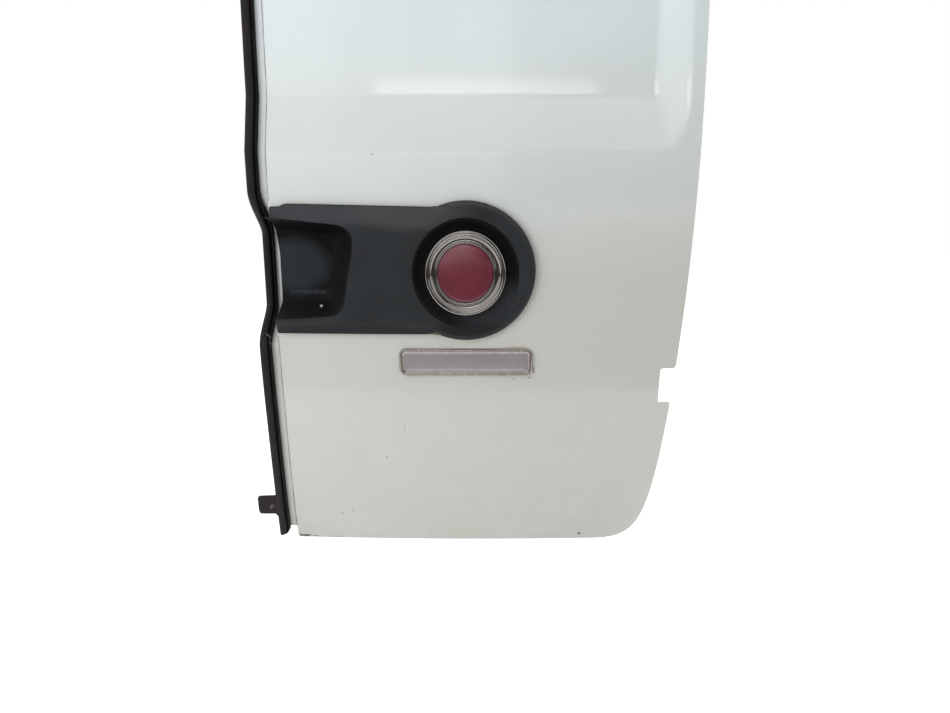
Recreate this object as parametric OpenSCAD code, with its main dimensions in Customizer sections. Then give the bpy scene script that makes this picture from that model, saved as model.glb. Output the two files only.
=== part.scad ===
// Right hand rear barn door leaf of a campervan, off its vehicle, hinges not fitted
// Origin on the lower hinge seat: +X out of the seat, +Z up, the outer face looks along -Y

/* [Leaf] */
// Height of the leaf
leaf_h = 1860; // [1840:5:1880]
// Width from the seal's inner edge to the widest point of the hinge side
leaf_w = 777; // [774:1:782]
// Plan radius of the crowned skin
crown_r = 6000; // [5500:100:7000]
// Thickness of the sheet as modelled
sheet = 1.6; // [1.4:0.1:1.9]
// Depth from the waist crease to the back of the inner panel
leaf_d = 108; // [107:0.5:110]

/* [Pressed lines] */
// Height of the lower crease, the foremost line of the skin
crease_z = 767; // [764:1:770]
// Height of the shoulder between the two creases
shoulder_h = 96; // [93:1:99]
// Depth of the shoulder between the creases
shoulder_d = 32.5; // [31.5:0.5:33.5]
// Distance from the widest point to the foot of the raised rim beside the upper panel
rim_in = 75; // [73:1:79]
// Width of the slope from the upper panel up to the rim
rim_w = 46; // [44:1:48]
// Side radius of the skin below the lower crease
tuck_r = 4000; // [3950:10:4100]
// How far the leaf above the lower crease leans back at its top
lean_d = 31.3; // [30:0.1:32.5]

/* [Handle] */
// Height of the handle plate's middle
handle_z = 564.5; // [562:0.5:567]
// Height of the handle plate
plate_h = 234; // [230:1:238]
// Radius of the round end
round_r = 126; // [124:0.5:128]
// Distance of the round end's middle from the seal's inner edge
round_x = 363; // [361:1:366]
// How far the handle trim stands off the skin
trim_d = 14; // [13:0.5:15]
// Height of the hand scoop
scoop_h = 181; // [176:1:184]
// Width of the hand scoop
scoop_w = 142; // [138:1:146]
// Depth of the scoop's floor behind the lower crease
scoop_d = 86; // [84:0.5:87.5]

/* [Hinge seats] */
// How far the hinge seats' wall stands inside the box's outline
seat_back = 2.9; // [2:0.3:5]
// Depth of the hinge seats' middle behind the outer face there
seat_d = 36; // [35:0.5:37]
// Height of the lower hinge notch's middle
seat_z = 339; // [337:1:341]
// Share of the leaf's height at which the upper hinge notch's middle lies
seat_top = 0.715; // [0.71:0.0025:0.72]
// Height of each notch in the skin
notch_h = 68; // [66:1:72]
// Size of the flat hinge seat along the door's depth
seat_w = 38; // [36:1:40]
// Hole for a hinge bolt
bolt_d = 9; // [8.4:0.1:9.6]
// Distance between the two hinge bolts
bolt_pitch = 40; // [38:1:42]

/* [Seal] */
// Width of the seal over both lobes
seal_w = 22; // [21:0.5:23]
// How far the outer lobe stands proud of its flange
seal_d = 15; // [14:0.5:16]
// Width of the white flange between seal and skin
strip_w = 13; // [12.5:0.5:14]

/* [Badge] */
// Width of the long badge
badge_w = 250; // [240:2:256]
// Height of the long badge
badge_h = 54; // [50:1:58]
// Height of the badge's middle
badge_z = 388; // [384:1:392]

/* [Trim board] */
// Distance of the trim board's sides from the leaf's
board_in = 108.5; // [104:0.5:112]
// Height of the trim board's foot
board_foot = 92; // [88:1:96]
// How far the trim board reaches above the crease
board_over = 25; // [20:1:30]
// Thickness of the inner trim board
board_t = 3; // [2.5:0.5:4]

/* [Latch] */
// Width of the latch case
latch_w = 120; // [110:2:130]
// Height of the latch case
latch_h = 90; // [84:2:96]
// Thickness of the latch and bolt cases
latch_t = 24; // [22:1:26]
// Diameter of the shoot bolts
shoot_d = 11.2; // [10:0.2:12]
// Diameter of the rods between latch and bolts
rod_d = 8; // [6:0.5:9]
// Height of the bar behind the latch
bar_h = 60; // [54:2:66]

/* [Pull handle] */
// Length of the pull handle
pull_w = 180; // [170:2:190]
// How far the pull handle stands off the board
pull_d = 34; // [32:1:38]
// Height of the pull handle's grip
pull_h = 28; // [24:1:32]

/* [Hidden] */
clear = 0.4;
pad_t = 1.5;
mid_x = leaf_w / 2 - 3.5;
shoulder_z = crease_z + shoulder_h;
rim_x = leaf_w - rim_in;
seat_top_z = leaf_h * seat_top;
top_fall = leaf_w * 0.0129;
deep = leaf_d * 1.5;
board_w = leaf_w - 2 * board_in;
board_h = crease_z + board_over - board_foot;
bracket_w = seat_w * 1.21;
bracket_h = notch_h * 1.03;
pillar_w = leaf_w * 0.155;
foot_drop = leaf_w * 0.14;
foot_rate = 0.22;
lean_rate = lean_d / (leaf_h - crease_z);
wide_z = leaf_h * 0.484;
foot_bow = leaf_w * 0.056;
head_bow = leaf_w * 0.095;
head_r = leaf_w * 0.1416;
bow_z = leaf_h * 0.7;
bow_d = leaf_d * 0.112;
dip_in = [handle_z - scoop_h * 0.826, handle_z - scoop_h * 0.412];
dip_out = [handle_z + scoop_h * 0.307, handle_z + scoop_h * 0.776];
dip_y = scoop_d + 4;
box_in = 23;
wall_x = strip_w - 3.6;
seat_h = notch_h * 0.912;
seat_x = side_x(seat_z - seat_h / 2) - box_in + pad_t - seat_back;
head_in = 42;
head_w = 60;
round_z = handle_z - plate_h * 0.0215;
emblem_z = round_z - 1.7;
face_tilt = atan((crease_z - emblem_z) / tuck_r);
bar_x = leaf_w * 0.0386;
bar_d = leaf_d * 0.24;
latch_x = leaf_w * 0.283;
latch_z = shoulder_z + latch_h * 0.467;
bolt_x = leaf_w * 0.0836;
case_w = leaf_w * 0.09;
case_h = leaf_h * 0.0323;
case_z = leaf_h * 0.0237;
guide_z = [
  for (k = [0.3, 0.62]) case_z + case_h + k * (latch_z - case_z - case_h),
  leaf_h * 0.63,
  leaf_h * 0.79
];
board_x = mid_x + 5;
bezel_w = board_w * 0.266;
bezel_h = board_h * 0.1186;
clip_r = board_t * 3;
screw_r = latch_t * 0.25;
bead_h = leaf_h * 0.0247;
bead_t = leaf_d * 0.037;
buffer_r = leaf_d * 0.13;
plug_r = leaf_d * 0.0926;
grommet_r = leaf_d * 0.139;
tab_z = leaf_h * 0.042;
seat_r = round_r * 0.768;
seat_floor = trim_d * 0.24;
ring_r = round_r * 0.584;
ring_t = trim_d * 0.96;
disc_r = round_r * 0.395;
step_d = shoulder_d - (shoulder_z - crease_z) * lean_rate;
seat_y = (crease_z - seat_z) * (crease_z - seat_z) / (2 * tuck_r) + seat_d;
// Node to build, or all

// Depth of the skin behind the lower crease, on the door's middle line
function clamp(t) = min(1, max(0, t));
function rim(z) = z < crease_z ? (crease_z - z) * (crease_z - z) / (2 * tuck_r)
  : (z - crease_z) * lean_rate + bow_d * pow(max(0, z - bow_z) / (leaf_h - bow_z), 2);
// Share of the upper panel's depth reached at a height, from its foot and from its head
function sunk(z) = min(clamp((z - crease_z) / (shoulder_z - crease_z)),
  clamp((leaf_h - head_in - z) / head_w));
function skin(z) = rim(z) + step_d * sunk(z);
function rim_line(z) = rim_x - bow(max(z, wide_z));
// Depth of the skin with the rim raised beside the upper panel
function press(x, z) = let (u = clamp((rim_line(z) + rim_w - x) / rim_w), k = sunk(z))
  rim(z) + step_d * clamp(1 - sqrt((1 - u) * (1 - u) + (1 - k) * (1 - k)));
function crown(x) = (x - mid_x) * (x - mid_x) / (2 * crown_r);
function smooth(t) = let (u = min(1, max(0, t))) u * u * (3 - 2 * u);
function dip(z) = smooth((z - dip_in[0]) / (dip_in[1] - dip_in[0]))
  * (1 - smooth((z - dip_out[0]) / (dip_out[1] - dip_out[0])));
// Depth of the free edge, which runs behind the hand scoop
function edge_y(z) = let (y = skin(z) + crown(strip_w)) y + (dip_y - y) * dip(z);
// Hinge side outline
function foot(z) = foot_drop * exp(-foot_rate * sqrt(max(0, z)));
function head(z) = z > leaf_h - head_r
  ? head_r - sqrt(max(0, head_r * head_r - pow(z - leaf_h + head_r, 2))) : 0;
function bow(z) = z < wide_z ? foot_bow * pow((wide_z - z) / wide_z, 2)
  : head_bow * pow((z - wide_z) / (leaf_h - wide_z), 2);
function side_x(z) = leaf_w - foot(z) - head(z) - bow(z);
function top_z(x) = leaf_h - top_fall * pow(x / leaf_w, 2);

head_z = leaf_h - head_in - head_w;
top_rows = [for (i = [1 : 9]) shoulder_z + 9 + i * (head_z - shoulder_z - 9) / 9, head_z + 20,
  head_z + 40, leaf_h - head_in, leaf_h + 30];
skin_z = [for (i = [0 : 14]) -12 + i * (crease_z - 12) / 14.2, crease_z - 9, crease_z - 3, crease_z + 4,
  crease_z + 11, shoulder_z - 9, shoulder_z - 3, shoulder_z + 3, shoulder_z + 9,
  for (z = top_rows) z];
side_z = [for (i = [0 : 17]) 330 * pow(i / 17, 2.3),
  for (i = [1 : 13]) 330 + i * (leaf_h - head_r - 350) / 13,
  for (i = [0 : 11]) leaf_h - head_r + (head_r - 4) * sin(i * 90 / 11)];
edge_z = [for (i = [0 : 7]) 4 + i * (dip_in[0] - 12) / 7.2,
  for (i = [0 : 10]) dip_in[0] + i * (dip_in[1] - dip_in[0]) / 10,
  for (i = [1 : 3]) dip_in[1] + i * (dip_out[0] - dip_in[1]) / 4,
  for (i = [0 : 11]) dip_out[0] + i * (dip_out[1] - dip_out[0]) / 11,
  (dip_out[1] + crease_z) / 2, crease_z, crease_z + 6,
  shoulder_z - 5, shoulder_z + 4, for (i = [1 : 7]) shoulder_z + i * (head_z - shoulder_z) / 8, head_z - 6,
  head_z + 5, leaf_h - head_in - 6, leaf_h - head_in + 5, leaf_h - 8];

// Places a drawing made from the seal's inner edge, the lower crease and the foot of the leaf
module at_seat()
  translate([-seat_x, -seat_y, -seat_z])
    children();

// Two dimensional outline of the skin, drawn in by inset on every side and cut off at stop
module outline(inset = 0, left = strip_w, stop = 2000) {
  corner = min(stop, side_x(leaf_h - 8) - inset) - 5;
  polygon([
    [left + inset, inset + 3],
    [left + inset + 3, inset],
    for (z = side_z) if (z > inset && z < leaf_h - inset - 8) [min(stop, side_x(z) - inset), z],
    [corner, top_z(leaf_w) - inset],
    for (i = [5 : -1 : 1]) [i * corner / 6, top_z(i * corner / 6) - inset],
    [left + inset + 4, leaf_h - inset],
    [left + inset, leaf_h - inset - 4]
  ]);
}

module outline_solid(inset = 0, left = strip_w, y0 = -60, y1 = 200, stop = 2000)
  translate([0, y1, 0])
    rotate([90, 0, 0])
      linear_extrude(y1 - y0)
        outline(inset, left, stop);

// Outline of the box behind the skin, whose hinge side is one straight wall
module box_solid(grow = 0, y0 = -60, y1 = 200)
  outline_solid(box_in - grow, wall_x - box_in, y0, y1, seat_x - pad_t + grow);

// A band that follows the skin from d0 to d1 behind it, or behind the rim where rimmed is 1
module band(d0, d1, rimmed)
  polygon([
    for (z = skin_z) [crown_r - skin(z) - d0 + rimmed * rise(z), z],
    for (i = [len(skin_z) - 1 : -1 : 0]) [crown_r - skin(skin_z[i]) - d1, skin_z[i]]
  ]);
function rise(z) = step_d * sunk(z) * (1 - 0.42 * clamp((leaf_h * 0.806 - z) / 120));

module layer(d0, d1, rimmed = 0) {
  left_a = asin((mid_x + 30) / crown_r);
  right_a = asin((leaf_w + 30 - mid_x) / crown_r);
  translate([mid_x, crown_r, 0])
    rotate_extrude(angle = left_a + right_a, start = 270 - left_a, $fn = 1440)
      band(d0, d1, rimmed);
}

rim_rows = [crease_z, for (i = [1 : 8]) crease_z + i * (shoulder_z - crease_z) / 8, for (z = top_rows) z];

// Front view of the area of the raised rim
module rim_area(grow = 0)
  polygon([
    [leaf_w + 90, crease_z - grow],
    [rim_x - grow, crease_z - grow],
    for (z = rim_rows) if (z > crease_z) [rim_line(z) - grow, z],
    [leaf_w + 90, leaf_h + 30]
  ]);

// Sheet of the raised rim from d0 to d1 behind its face
module rim_sheet(d0, d1) {
  us = [0, 0.25, 0.5, 0.75, 1, 1.9];
  zs = [for (z = rim_rows) z == crease_z ? z + 0.2 : z];
  n = len(us);
  m = len(zs);
  polyhedron(
    points = [
      for (d = [d0, d1], z = zs, u = us)
        let (x = rim_line(z) + 0.2 + u * rim_w) [x, press(x, z) + crown(x) + d, z]
    ],
    faces = [
      for (j = [0 : m - 2], i = [0 : n - 2], t = [0 : 3])
        let (a = j * n + i, b = a + n, c = a + m * n, d = b + m * n)
          t == 0 ? [a, b, a + 1] : t == 1 ? [a + 1, b, b + 1]
          : t == 2 ? [c, c + 1, d] : [c + 1, d + 1, d],
      for (i = [0 : n - 2], t = [0 : 3])
        let (a = i, b = (m - 1) * n + i, q = m * n)
          t == 0 ? [a, a + 1, a + q] : t == 1 ? [a + 1, a + 1 + q, a + q]
          : t == 2 ? [b, b + q, b + 1] : [b + 1, b + q, b + 1 + q],
      for (j = [0 : m - 2], t = [0 : 3])
        let (a = j * n, b = j * n + n - 1, q = m * n)
          t == 0 ? [a, a + q, a + n] : t == 1 ? [a + n, a + q, a + n + q]
          : t == 2 ? [b, b + n, b + q] : [b + n, b + n + q, b + q]
    ]
  );
}

// Prism along the door's depth
module prism(y0, y1)
  translate([0, y1, 0])
    rotate([90, 0, 0])
      linear_extrude(y1 - y0)
        children();

module rounded(w, h, r)
  polygon([
    for (q = [0 : 3], a = [0 : 15 : 90])
      [(q == 0 || q == 3 ? 1 : -1) * (w / 2 - r) + r * cos(a + q * 90),
       (q < 2 ? 1 : -1) * (h / 2 - r) + r * sin(a + q * 90)]
  ]);

module notch(z, grow = 0) {
  low = z - notch_h / 2 - grow;
  high = z + notch_h / 2 + grow;
  a = side_x(low);
  b = side_x(high);
  polygon([
    [seat_x + 3 - grow, low],
    [a - 4, low],
    [a - 1.2, low - 1.2],
    [a + 0.5, low - 4],
    [leaf_w + 60, low - 5],
    [leaf_w + 60, high + 10],
    [b + 1, high + 8],
    [b - 1.8, high + 2.6],
    [b - 7, high],
    [seat_x + 5 - grow, high],
    [seat_x + 1.5 - grow, high - 1.5],
    [seat_x - grow, high - 5],
    [seat_x - grow, low + 3]
  ]);
}

// Scoop as seen from outside, open to the free edge
module scoop(grow = 0, left = -40)
  translate([0, handle_z])
    polygon([
      [left, -scoop_h * 0.524 - grow],
      [scoop_w * 0.35, -scoop_h * 0.507 - grow],
      [scoop_w * 0.8, -scoop_h * 0.48 - grow],
      [scoop_w * 0.9 + grow * 0.5, -scoop_h * 0.456 - grow],
      [scoop_w * 0.965 + grow * 0.8, -scoop_h * 0.409 - grow * 0.6],
      [scoop_w + grow, -scoop_h * 0.3425],
      [scoop_w * 1.032 + grow, -scoop_h * 0.232],
      [scoop_w * 1.075 + grow, -scoop_h * 0.044],
      [scoop_w * 1.11 + grow, scoop_h * 0.124],
      [scoop_w * 1.128 + grow, scoop_h * 0.276],
      [scoop_w * 1.105 + grow, scoop_h * 0.3315 + grow * 0.4],
      [scoop_w * 1.06 + grow * 0.8, scoop_h * 0.3735 + grow * 0.6],
      [scoop_w + grow * 0.6, scoop_h * 0.412 + grow * 0.8],
      [scoop_w * 0.92 + grow * 0.4, scoop_h * 0.435 + grow],
      [scoop_w * 0.62, scoop_h * 0.46 + grow],
      [scoop_w * 0.35, scoop_h * 0.482 + grow],
      [left, scoop_h * 0.506 + grow]
    ]);

// Front view of the handle plate: its top falls towards the round end
module trim_outline(inset = 0) {
  left = strip_w + 1.2;
  foot = handle_z - plate_h * 0.515 + inset;
  polygon([
    [left + inset, foot + 2],
    [left + inset + 2, foot],
    [round_x, foot],
    [round_x, handle_z + plate_h * 0.464 - inset],
    [left + plate_h * 0.132, handle_z + plate_h * 0.493 - inset],
    [left + plate_h * 0.062, handle_z + plate_h * 0.47 - inset],
    [left + inset, handle_z + plate_h * 0.475 - inset]
  ]);
  translate([round_x, round_z])
    circle(r = round_r - inset, $fn = 120);
}

// Steel

module outer_skin()
  color("#dfe3e4")
    at_seat()
      difference() {
        intersection() {
          layer(0, sheet);
          outline_solid();
        }
        prism(-60, 200)
          notch(seat_z);
        prism(-60, 200)
          rim_area();
        prism(-60, 200)
          scoop();
      }

module upper_rim()
  color("#dfe3e4")
    at_seat()
      difference() {
        intersection() {
          rim_sheet(0, sheet);
          outline_solid();
        }
        prism(-60, 200)
          notch(seat_top_z);
      }

module hem()
  color("#d5d9da")
    at_seat()
      difference() {
        intersection() {
          layer(sheet + 0.1, 2 * sheet);
          outline_solid(1);
        }
        box_solid(0, -80, 220);
        prism(-60, 200)
          notch(seat_z, 1);
        prism(-60, 200)
          rim_area(0.5);
        prism(-60, 200)
          scoop();
      }

module upper_hem()
  color("#d5d9da")
    at_seat()
      difference() {
        intersection() {
          rim_sheet(sheet + 0.1, 2 * sheet);
          outline_solid(1);
        }
        box_solid(0, -80, 220);
        prism(-60, 200)
          notch(seat_top_z, 1);
      }

module side_frame()
  color("#d9dddd")
    at_seat()
      difference() {
        intersection() {
          layer(2 * sheet + 0.1, deep);
          box_solid(0, 0, leaf_d - sheet - 0.1);
        }
        box_solid(-sheet, -80, 220);
        translate([-40, -80, -40])
          cube([wall_x + 42, 300, leaf_h + 80]);
        translate([rim_x - pillar_w, -80, crease_z])
          cube([leaf_w, 300, leaf_h]);
        frame_holes(seat_z);
      }

module frame_holes(z)
  for (k = [-1, 1])
    translate([seat_x - seat_w / 2, seat_y, z + k * bolt_pitch / 2])
      rotate([0, 90, 0])
        cylinder(d = bolt_d + 1, h = seat_w, $fn = 48);

module pillar_frame()
  color("#d9dddd")
    at_seat()
      difference() {
        intersection() {
          layer(2 * sheet + 0.1, deep, 1);
          box_solid(0, 0, leaf_d - sheet - 0.1);
          translate([rim_x - pillar_w, -80, crease_z + 0.1])
            cube([leaf_w, 300, leaf_h]);
        }
        box_solid(-sheet, -80, 220);
        frame_holes(seat_top_z);
      }

module inner_panel()
  color("#dde0e0")
    at_seat()
      difference() {
        box_solid(0, leaf_d - sheet, leaf_d);
        for (k = [-1, 1])
          translate([mid_x + k * leaf_w * 0.174, 0, board_foot + board_h * 0.34])
            prism(0, 200)
              rounded(leaf_w * 0.18, board_h * 0.33, leaf_w * 0.05);
        translate([mid_x + leaf_w * 0.006, 0, leaf_h * 0.548])
          prism(0, 200)
            rounded(leaf_w * 0.167, leaf_h * 0.048, leaf_w * 0.038);
      }

// Raised swages across the upper inner panel, and one beside each access hole
module panel_beads()
  color("#d4d8d8")
    at_seat() {
      for (k = [0.32, 0.56, 0.8])
        translate([mid_x - 8, 0, shoulder_z + k * (leaf_h - shoulder_z)])
          prism(leaf_d, leaf_d + bead_t)
            rounded(leaf_w * 0.67, bead_h, bead_h * 0.48);
    }

module free_edge_flange()
  color("#dcdfdf")
    at_seat()
      rotate([90, 0, 90]) {
        translate([0, 0, -seal_w * 0.5])
          linear_extrude(strip_w + seal_w * 0.5)
            edge_band(2, 2 + sheet, 26, leaf_h - 12);
        for (g = [
          [dip_in[0] - 9, handle_z - scoop_h / 2 - 4],
          [handle_z + scoop_h / 2 + 5, dip_out[1] + 15]
        ])
          translate([0, 0, strip_w - sheet])
            linear_extrude(sheet)
              gusset(g[0], g[1]);
      }

// Band along the free edge, d0 to d1 behind its line
module edge_band(d0, d1, z0, z1)
  polygon([
    [edge_y(z0) + d0, z0],
    for (z = edge_z) if (z > z0 && z < z1) [edge_y(z) + d0, z],
    [edge_y(z1) + d0, z1],
    [edge_y(z1) + d1, z1],
    for (i = [len(edge_z) - 1 : -1 : 0])
      if (edge_z[i] > z0 && edge_z[i] < z1) [edge_y(edge_z[i]) + d1, edge_z[i]],
    [edge_y(z0) + d1, z0]
  ]);

// Web that closes the step between skin and flange beside the scoop
module gusset(z0, z1)
  polygon([
    for (i = [0 : 8]) let (z = z0 + (z1 - z0) * i / 8) [edge_y(z) + 2.2, z],
    for (i = [8 : -1 : 0]) let (z = z0 + (z1 - z0) * i / 8) [skin(z) + crown(strip_w) + sheet + 0.2, z]
  ]);

module free_edge_return()
  color("#d6dada")
    at_seat()
      translate([wall_x, 0, 0])
        rotate([90, 0, 90])
          linear_extrude(sheet)
            polygon([
              [edge_y(30) + 2.1 + sheet, 30],
              for (z = edge_z) if (z > 30 && z < leaf_h - 30) [edge_y(z) + 2.1 + sheet, z],
              [leaf_d - sheet - 0.1, leaf_h - 30],
              [leaf_d - sheet - 0.1, 30]
            ]);

// Seal

module run(ring, z0, z1) {
  zs = [z0, for (z = edge_z) if (z > z0 + 4 && z < z1 - 4) z, z1];
  n = len(ring);
  pts = [
    for (z = zs)
      let (s = (edge_y(z + 1) - edge_y(z - 1)) / 2, k = sqrt(1 + s * s))
        for (p = ring) [p[0], edge_y(z) - p[1] / k, z + p[1] * s / k]
  ];
  polyhedron(
    points = pts,
    faces = [
      [for (i = [0 : n - 1]) i],
      for (j = [0 : len(zs) - 2], i = [0 : n - 1], t = [0, 1])
        let (a = j * n + i, b = j * n + (i + 1) % n)
          t == 0 ? [a, a + n, b] : [b, a + n, b + n],
      [for (i = [n - 1 : -1 : 0]) (len(zs) - 1) * n + i]
    ]
  );
}

module seal_bulb()
  color("#2b2726")
    at_seat()
      run([for (a = [0 : 36 : 324])
        [-seal_w * 0.66 + seal_w * 0.34 * cos(a), seal_d * 0.5 * (1 + sin(a)) - 2]],
        12, leaf_h - 16);

module seal_lip()
  color("#1b191d")
    at_seat()
      run([for (a = [0 : 36 : 324])
        [-seal_w * 0.16 + seal_w * 0.16 * cos(a), seal_d * 0.3 * (1 + sin(a)) - 2]],
        10, leaf_h - 14);

module seal_lug()
  color("#1d1b1c")
    at_seat()
      translate([0, edge_y(tab_z) - seal_d * 0.5 + 2, 0])
        prism(-4, 4)
          polygon([
            [-seal_w - 0.1, tab_z - 17],
            [-seal_w - 32, tab_z - 17],
            [-seal_w - 35.5, tab_z - 13],
            [-seal_w - 37.3, tab_z + 17],
            [-seal_w - 35, tab_z + 20],
            [-seal_w - 3, tab_z + 21],
            [-seal_w - 0.1, tab_z + 25]
          ]);

// Handle

module handle_trim()
  color("#2d3134")
    at_seat()
      difference() {
        union() {
          intersection() {
            layer(-trim_d * 0.6, -clear);
            prism(-60, 60)
              trim_outline();
          }
          intersection() {
            layer(-trim_d, -clear - 0.5);
            prism(-60, 60)
              trim_outline(4);
          }
        }
        prism(-60, 100)
          scoop();
        at_emblem()
          cylinder(r = seat_r + 0.2, h = 120, center = true, $fn = 120);
      }

// Stands on the skin under the round end, with its third axis square to it
module at_emblem()
  translate([round_x, skin(emblem_z) + crown(round_x), emblem_z])
    rotate([90 + face_tilt, 0, 0])
      children();

module grip_cup()
  color("#26292c")
    at_seat()
      difference() {
        prism(6, dip_y + 1.7 - sheet)
          scoop(2.6, strip_w + 0.5);
        prism(-20, scoop_d)
          scoop(0, -10);
        layer(-60, 2 * sheet + 0.4);
      }

module scoop_pressing()
  color("#d8dcdc")
    at_seat()
      prism(dip_y + 1.8 - sheet, dip_y + 1.8)
        scoop(2.6, 4);

module emblem_seat()
  color("#292d30")
    at_seat()
      at_emblem()
        difference() {
          translate([0, 0, 0.6])
            cylinder(r = seat_r, h = trim_d - 1.2, $fn = 120);
          translate([0, 0, seat_floor])
            cylinder(r1 = seat_r - 12, r2 = seat_r - 3, h = trim_d, $fn = 120);
        }

module emblem_bezel()
  color("#b9b4ab")
    at_seat()
      at_emblem()
        translate([0, 0, seat_floor + 0.2])
          rotate_extrude($fn = 120)
            polygon([
              [disc_r + 0.3, 0],
              [ring_r - 1, 0],
              [ring_r, ring_t * 0.35],
              [ring_r - 1.2, ring_t * 0.72],
              [ring_r - 5, ring_t * 0.9],
              [ring_r - 10, ring_t * 0.8],
              [disc_r + 8, ring_t],
              [disc_r + 3, ring_t * 0.92],
              [disc_r + 0.3, ring_t * 0.5]
            ]);

module emblem_disc()
  color("#6b2437")
    at_seat()
      at_emblem()
        translate([0, 0, seat_floor + 0.2])
          rotate_extrude($fn = 120)
            polygon([
              [0, 0],
              [disc_r, 0],
              [disc_r, ring_t * 0.6],
              [disc_r * 0.8, ring_t * 0.78],
              [disc_r * 0.48, ring_t * 0.9],
              [0, ring_t * 0.95]
            ]);

// Follows the skin from d0 to d1 in front of it, inside a rounded oblong at the badge's place
module badge_layer(d0, d1, w, h, r)
  intersection() {
    layer(-d1, -d0);
    translate([round_x, 0, badge_z])
      prism(-40, 60)
        rounded(w, h, r);
  }

module badge_frame()
  color("#bdb8b0")
    at_seat()
      difference() {
        badge_layer(0.1, badge_h * 0.093, badge_w, badge_h, badge_h * 0.22);
        translate([round_x, 0, badge_z])
          prism(-60, 80)
            rounded(badge_w * 0.928, badge_h * 0.685, badge_h * 0.11);
      }

module badge_plate()
  color("#8f8a84")
    at_seat()
      badge_layer(0.1, badge_h * 0.07, badge_w * 0.924, badge_h * 0.667, badge_h * 0.11);

// Hinge seats

module seat_plate(z, x, t)
  at_seat()
    difference() {
      translate([x, seat_y - seat_w / 2, z - seat_h / 2])
        cube([t, seat_w, seat_h]);
      for (k = [-1, 1])
        translate([seat_x - 10, seat_y, z + k * bolt_pitch / 2])
          rotate([0, 90, 0])
            cylinder(d = bolt_d, h = 40, center = true, $fn = 48);
    }

module hinge_seat_lower_pad()
  color("#d8dcdc")
    seat_plate(seat_z, seat_x - pad_t, pad_t);

module hinge_seat_upper_pad()
  color("#d8dcdc")
    seat_plate(seat_top_z, seat_x - pad_t, pad_t);

module nut_plate_lower()
  color("#8f9396")
    seat_plate(seat_z, seat_x - pad_t - sheet - 8, 8);

module nut_plate_upper()
  color("#8f9396")
    seat_plate(seat_top_z, seat_x - pad_t - sheet - 8, 8);

// Inside

module crossbar()
  color("#cfd3d3")
    at_seat()
      translate([bar_x, leaf_d - sheet - bar_d, dip_out[1] - 5])
        difference() {
          cube([seat_x - pad_t - bar_x - 18, bar_d - clear, bar_h]);
          translate([-1, -1, 2 * sheet])
            cube([leaf_w, bar_d - clear - sheet + 1, bar_h - 4 * sheet]);
        }

module latch_case()
  color("#8b8f92")
    at_seat()
      translate([latch_x - latch_w / 2, leaf_d + 0.2, latch_z - latch_h / 2])
        difference() {
          cube([latch_w, latch_t, latch_h]);
          translate([-1, latch_t * 0.27, latch_h * 0.4])
            cube([latch_w / 2, latch_t * 0.45, latch_h * 0.2]);
        }

module latch_claw()
  color("#5c6063")
    at_seat()
      translate([latch_x - latch_w * 0.37, leaf_d + 0.2 + latch_t * 0.495, latch_z])
        rotate([90, 0, 0])
          cylinder(d = latch_h * 0.19, h = latch_t * 0.36, center = true, $fn = 48);

module bolt_case(z)
  at_seat()
    translate([bolt_x - case_w / 2, leaf_d + 0.2, z])
      difference() {
        cube([case_w, latch_t, case_h]);
        translate([case_w / 2 - shoot_d, latch_t / 2 - shoot_d / 2 - 1, -1])
          cube([2 * shoot_d, shoot_d + 2, case_h + 2]);
      }

module upper_bolt_case()
  color("#8b8f92")
    bolt_case(leaf_h - 40 - case_h);

module lower_bolt_case()
  color("#8b8f92")
    bolt_case(case_z);

// Upright round bar on the line of the bolts
module bar(z0, z1, d)
  at_seat()
    translate([bolt_x, leaf_d + 0.2 + latch_t / 2, z0])
      cylinder(d = d, h = z1 - z0, $fn = 48);

module upper_bolt()
  color("#6f7376")
    bar(leaf_h - 36 - case_h, leaf_h - 12, shoot_d);

module lower_bolt()
  color("#6f7376")
    bar(case_z - 28, case_z - 4 + case_h, shoot_d);

module upper_rod()
  color("#7b7f82")
    bar(latch_z + latch_h * 0.6, leaf_h - 36 - case_h, rod_d);

module lower_rod()
  color("#7b7f82")
    bar(case_z - 4 + case_h, latch_z - latch_h * 0.5, rod_d);

// Clips that hold the rods off the panel, the rod's thickness behind it
module rod_guides()
  color("#1d1e20")
    at_seat()
      for (z = guide_z)
        translate([bolt_x - rod_d * 1.5, leaf_d + 0.2, z])
          difference() {
            cube([rod_d * 3, latch_t / 2 + rod_d, rod_d * 2]);
            translate([rod_d * 0.9, latch_t / 2 - rod_d * 0.6, -1])
              cube([rod_d * 1.2, 40, rod_d * 2 + 2]);
          }

module trim_board()
  color("#6f7173")
    at_seat()
      translate([board_x, 0, board_foot + board_h / 2])
        difference() {
          prism(leaf_d + 0.3, leaf_d + 0.3 + board_t)
            rounded(board_w, board_h, board_h * 0.057);
          translate([0, 0, board_h * 0.286])
            prism(leaf_d - 20, leaf_d + 40)
              rounded(bezel_w + 1, bezel_h + 1, bezel_h * 0.19);
        }

module board_clips()
  color("#1f2022")
    at_seat()
      for (k = [-1, 0, 1], z = [board_foot + 20, board_foot + board_h - 20])
        translate([board_x + k * (board_w / 2 - 40), leaf_d + 0.3 + board_t + 2.4, z])
          rotate([90, 0, 0])
            cylinder(r = clip_r, h = 2.2, $fn = 48);

module release_bezel()
  color("#2a2b2d")
    at_seat()
      translate([board_x, 0, board_foot + board_h * 0.786])
        difference() {
          prism(leaf_d + 0.3, leaf_d + 5 + board_t)
            rounded(bezel_w, bezel_h, bezel_h * 0.19);
          prism(leaf_d + board_t, leaf_d + 60)
            rounded(bezel_w * 0.886, bezel_h * 0.795, bezel_h * 0.12);
        }

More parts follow.
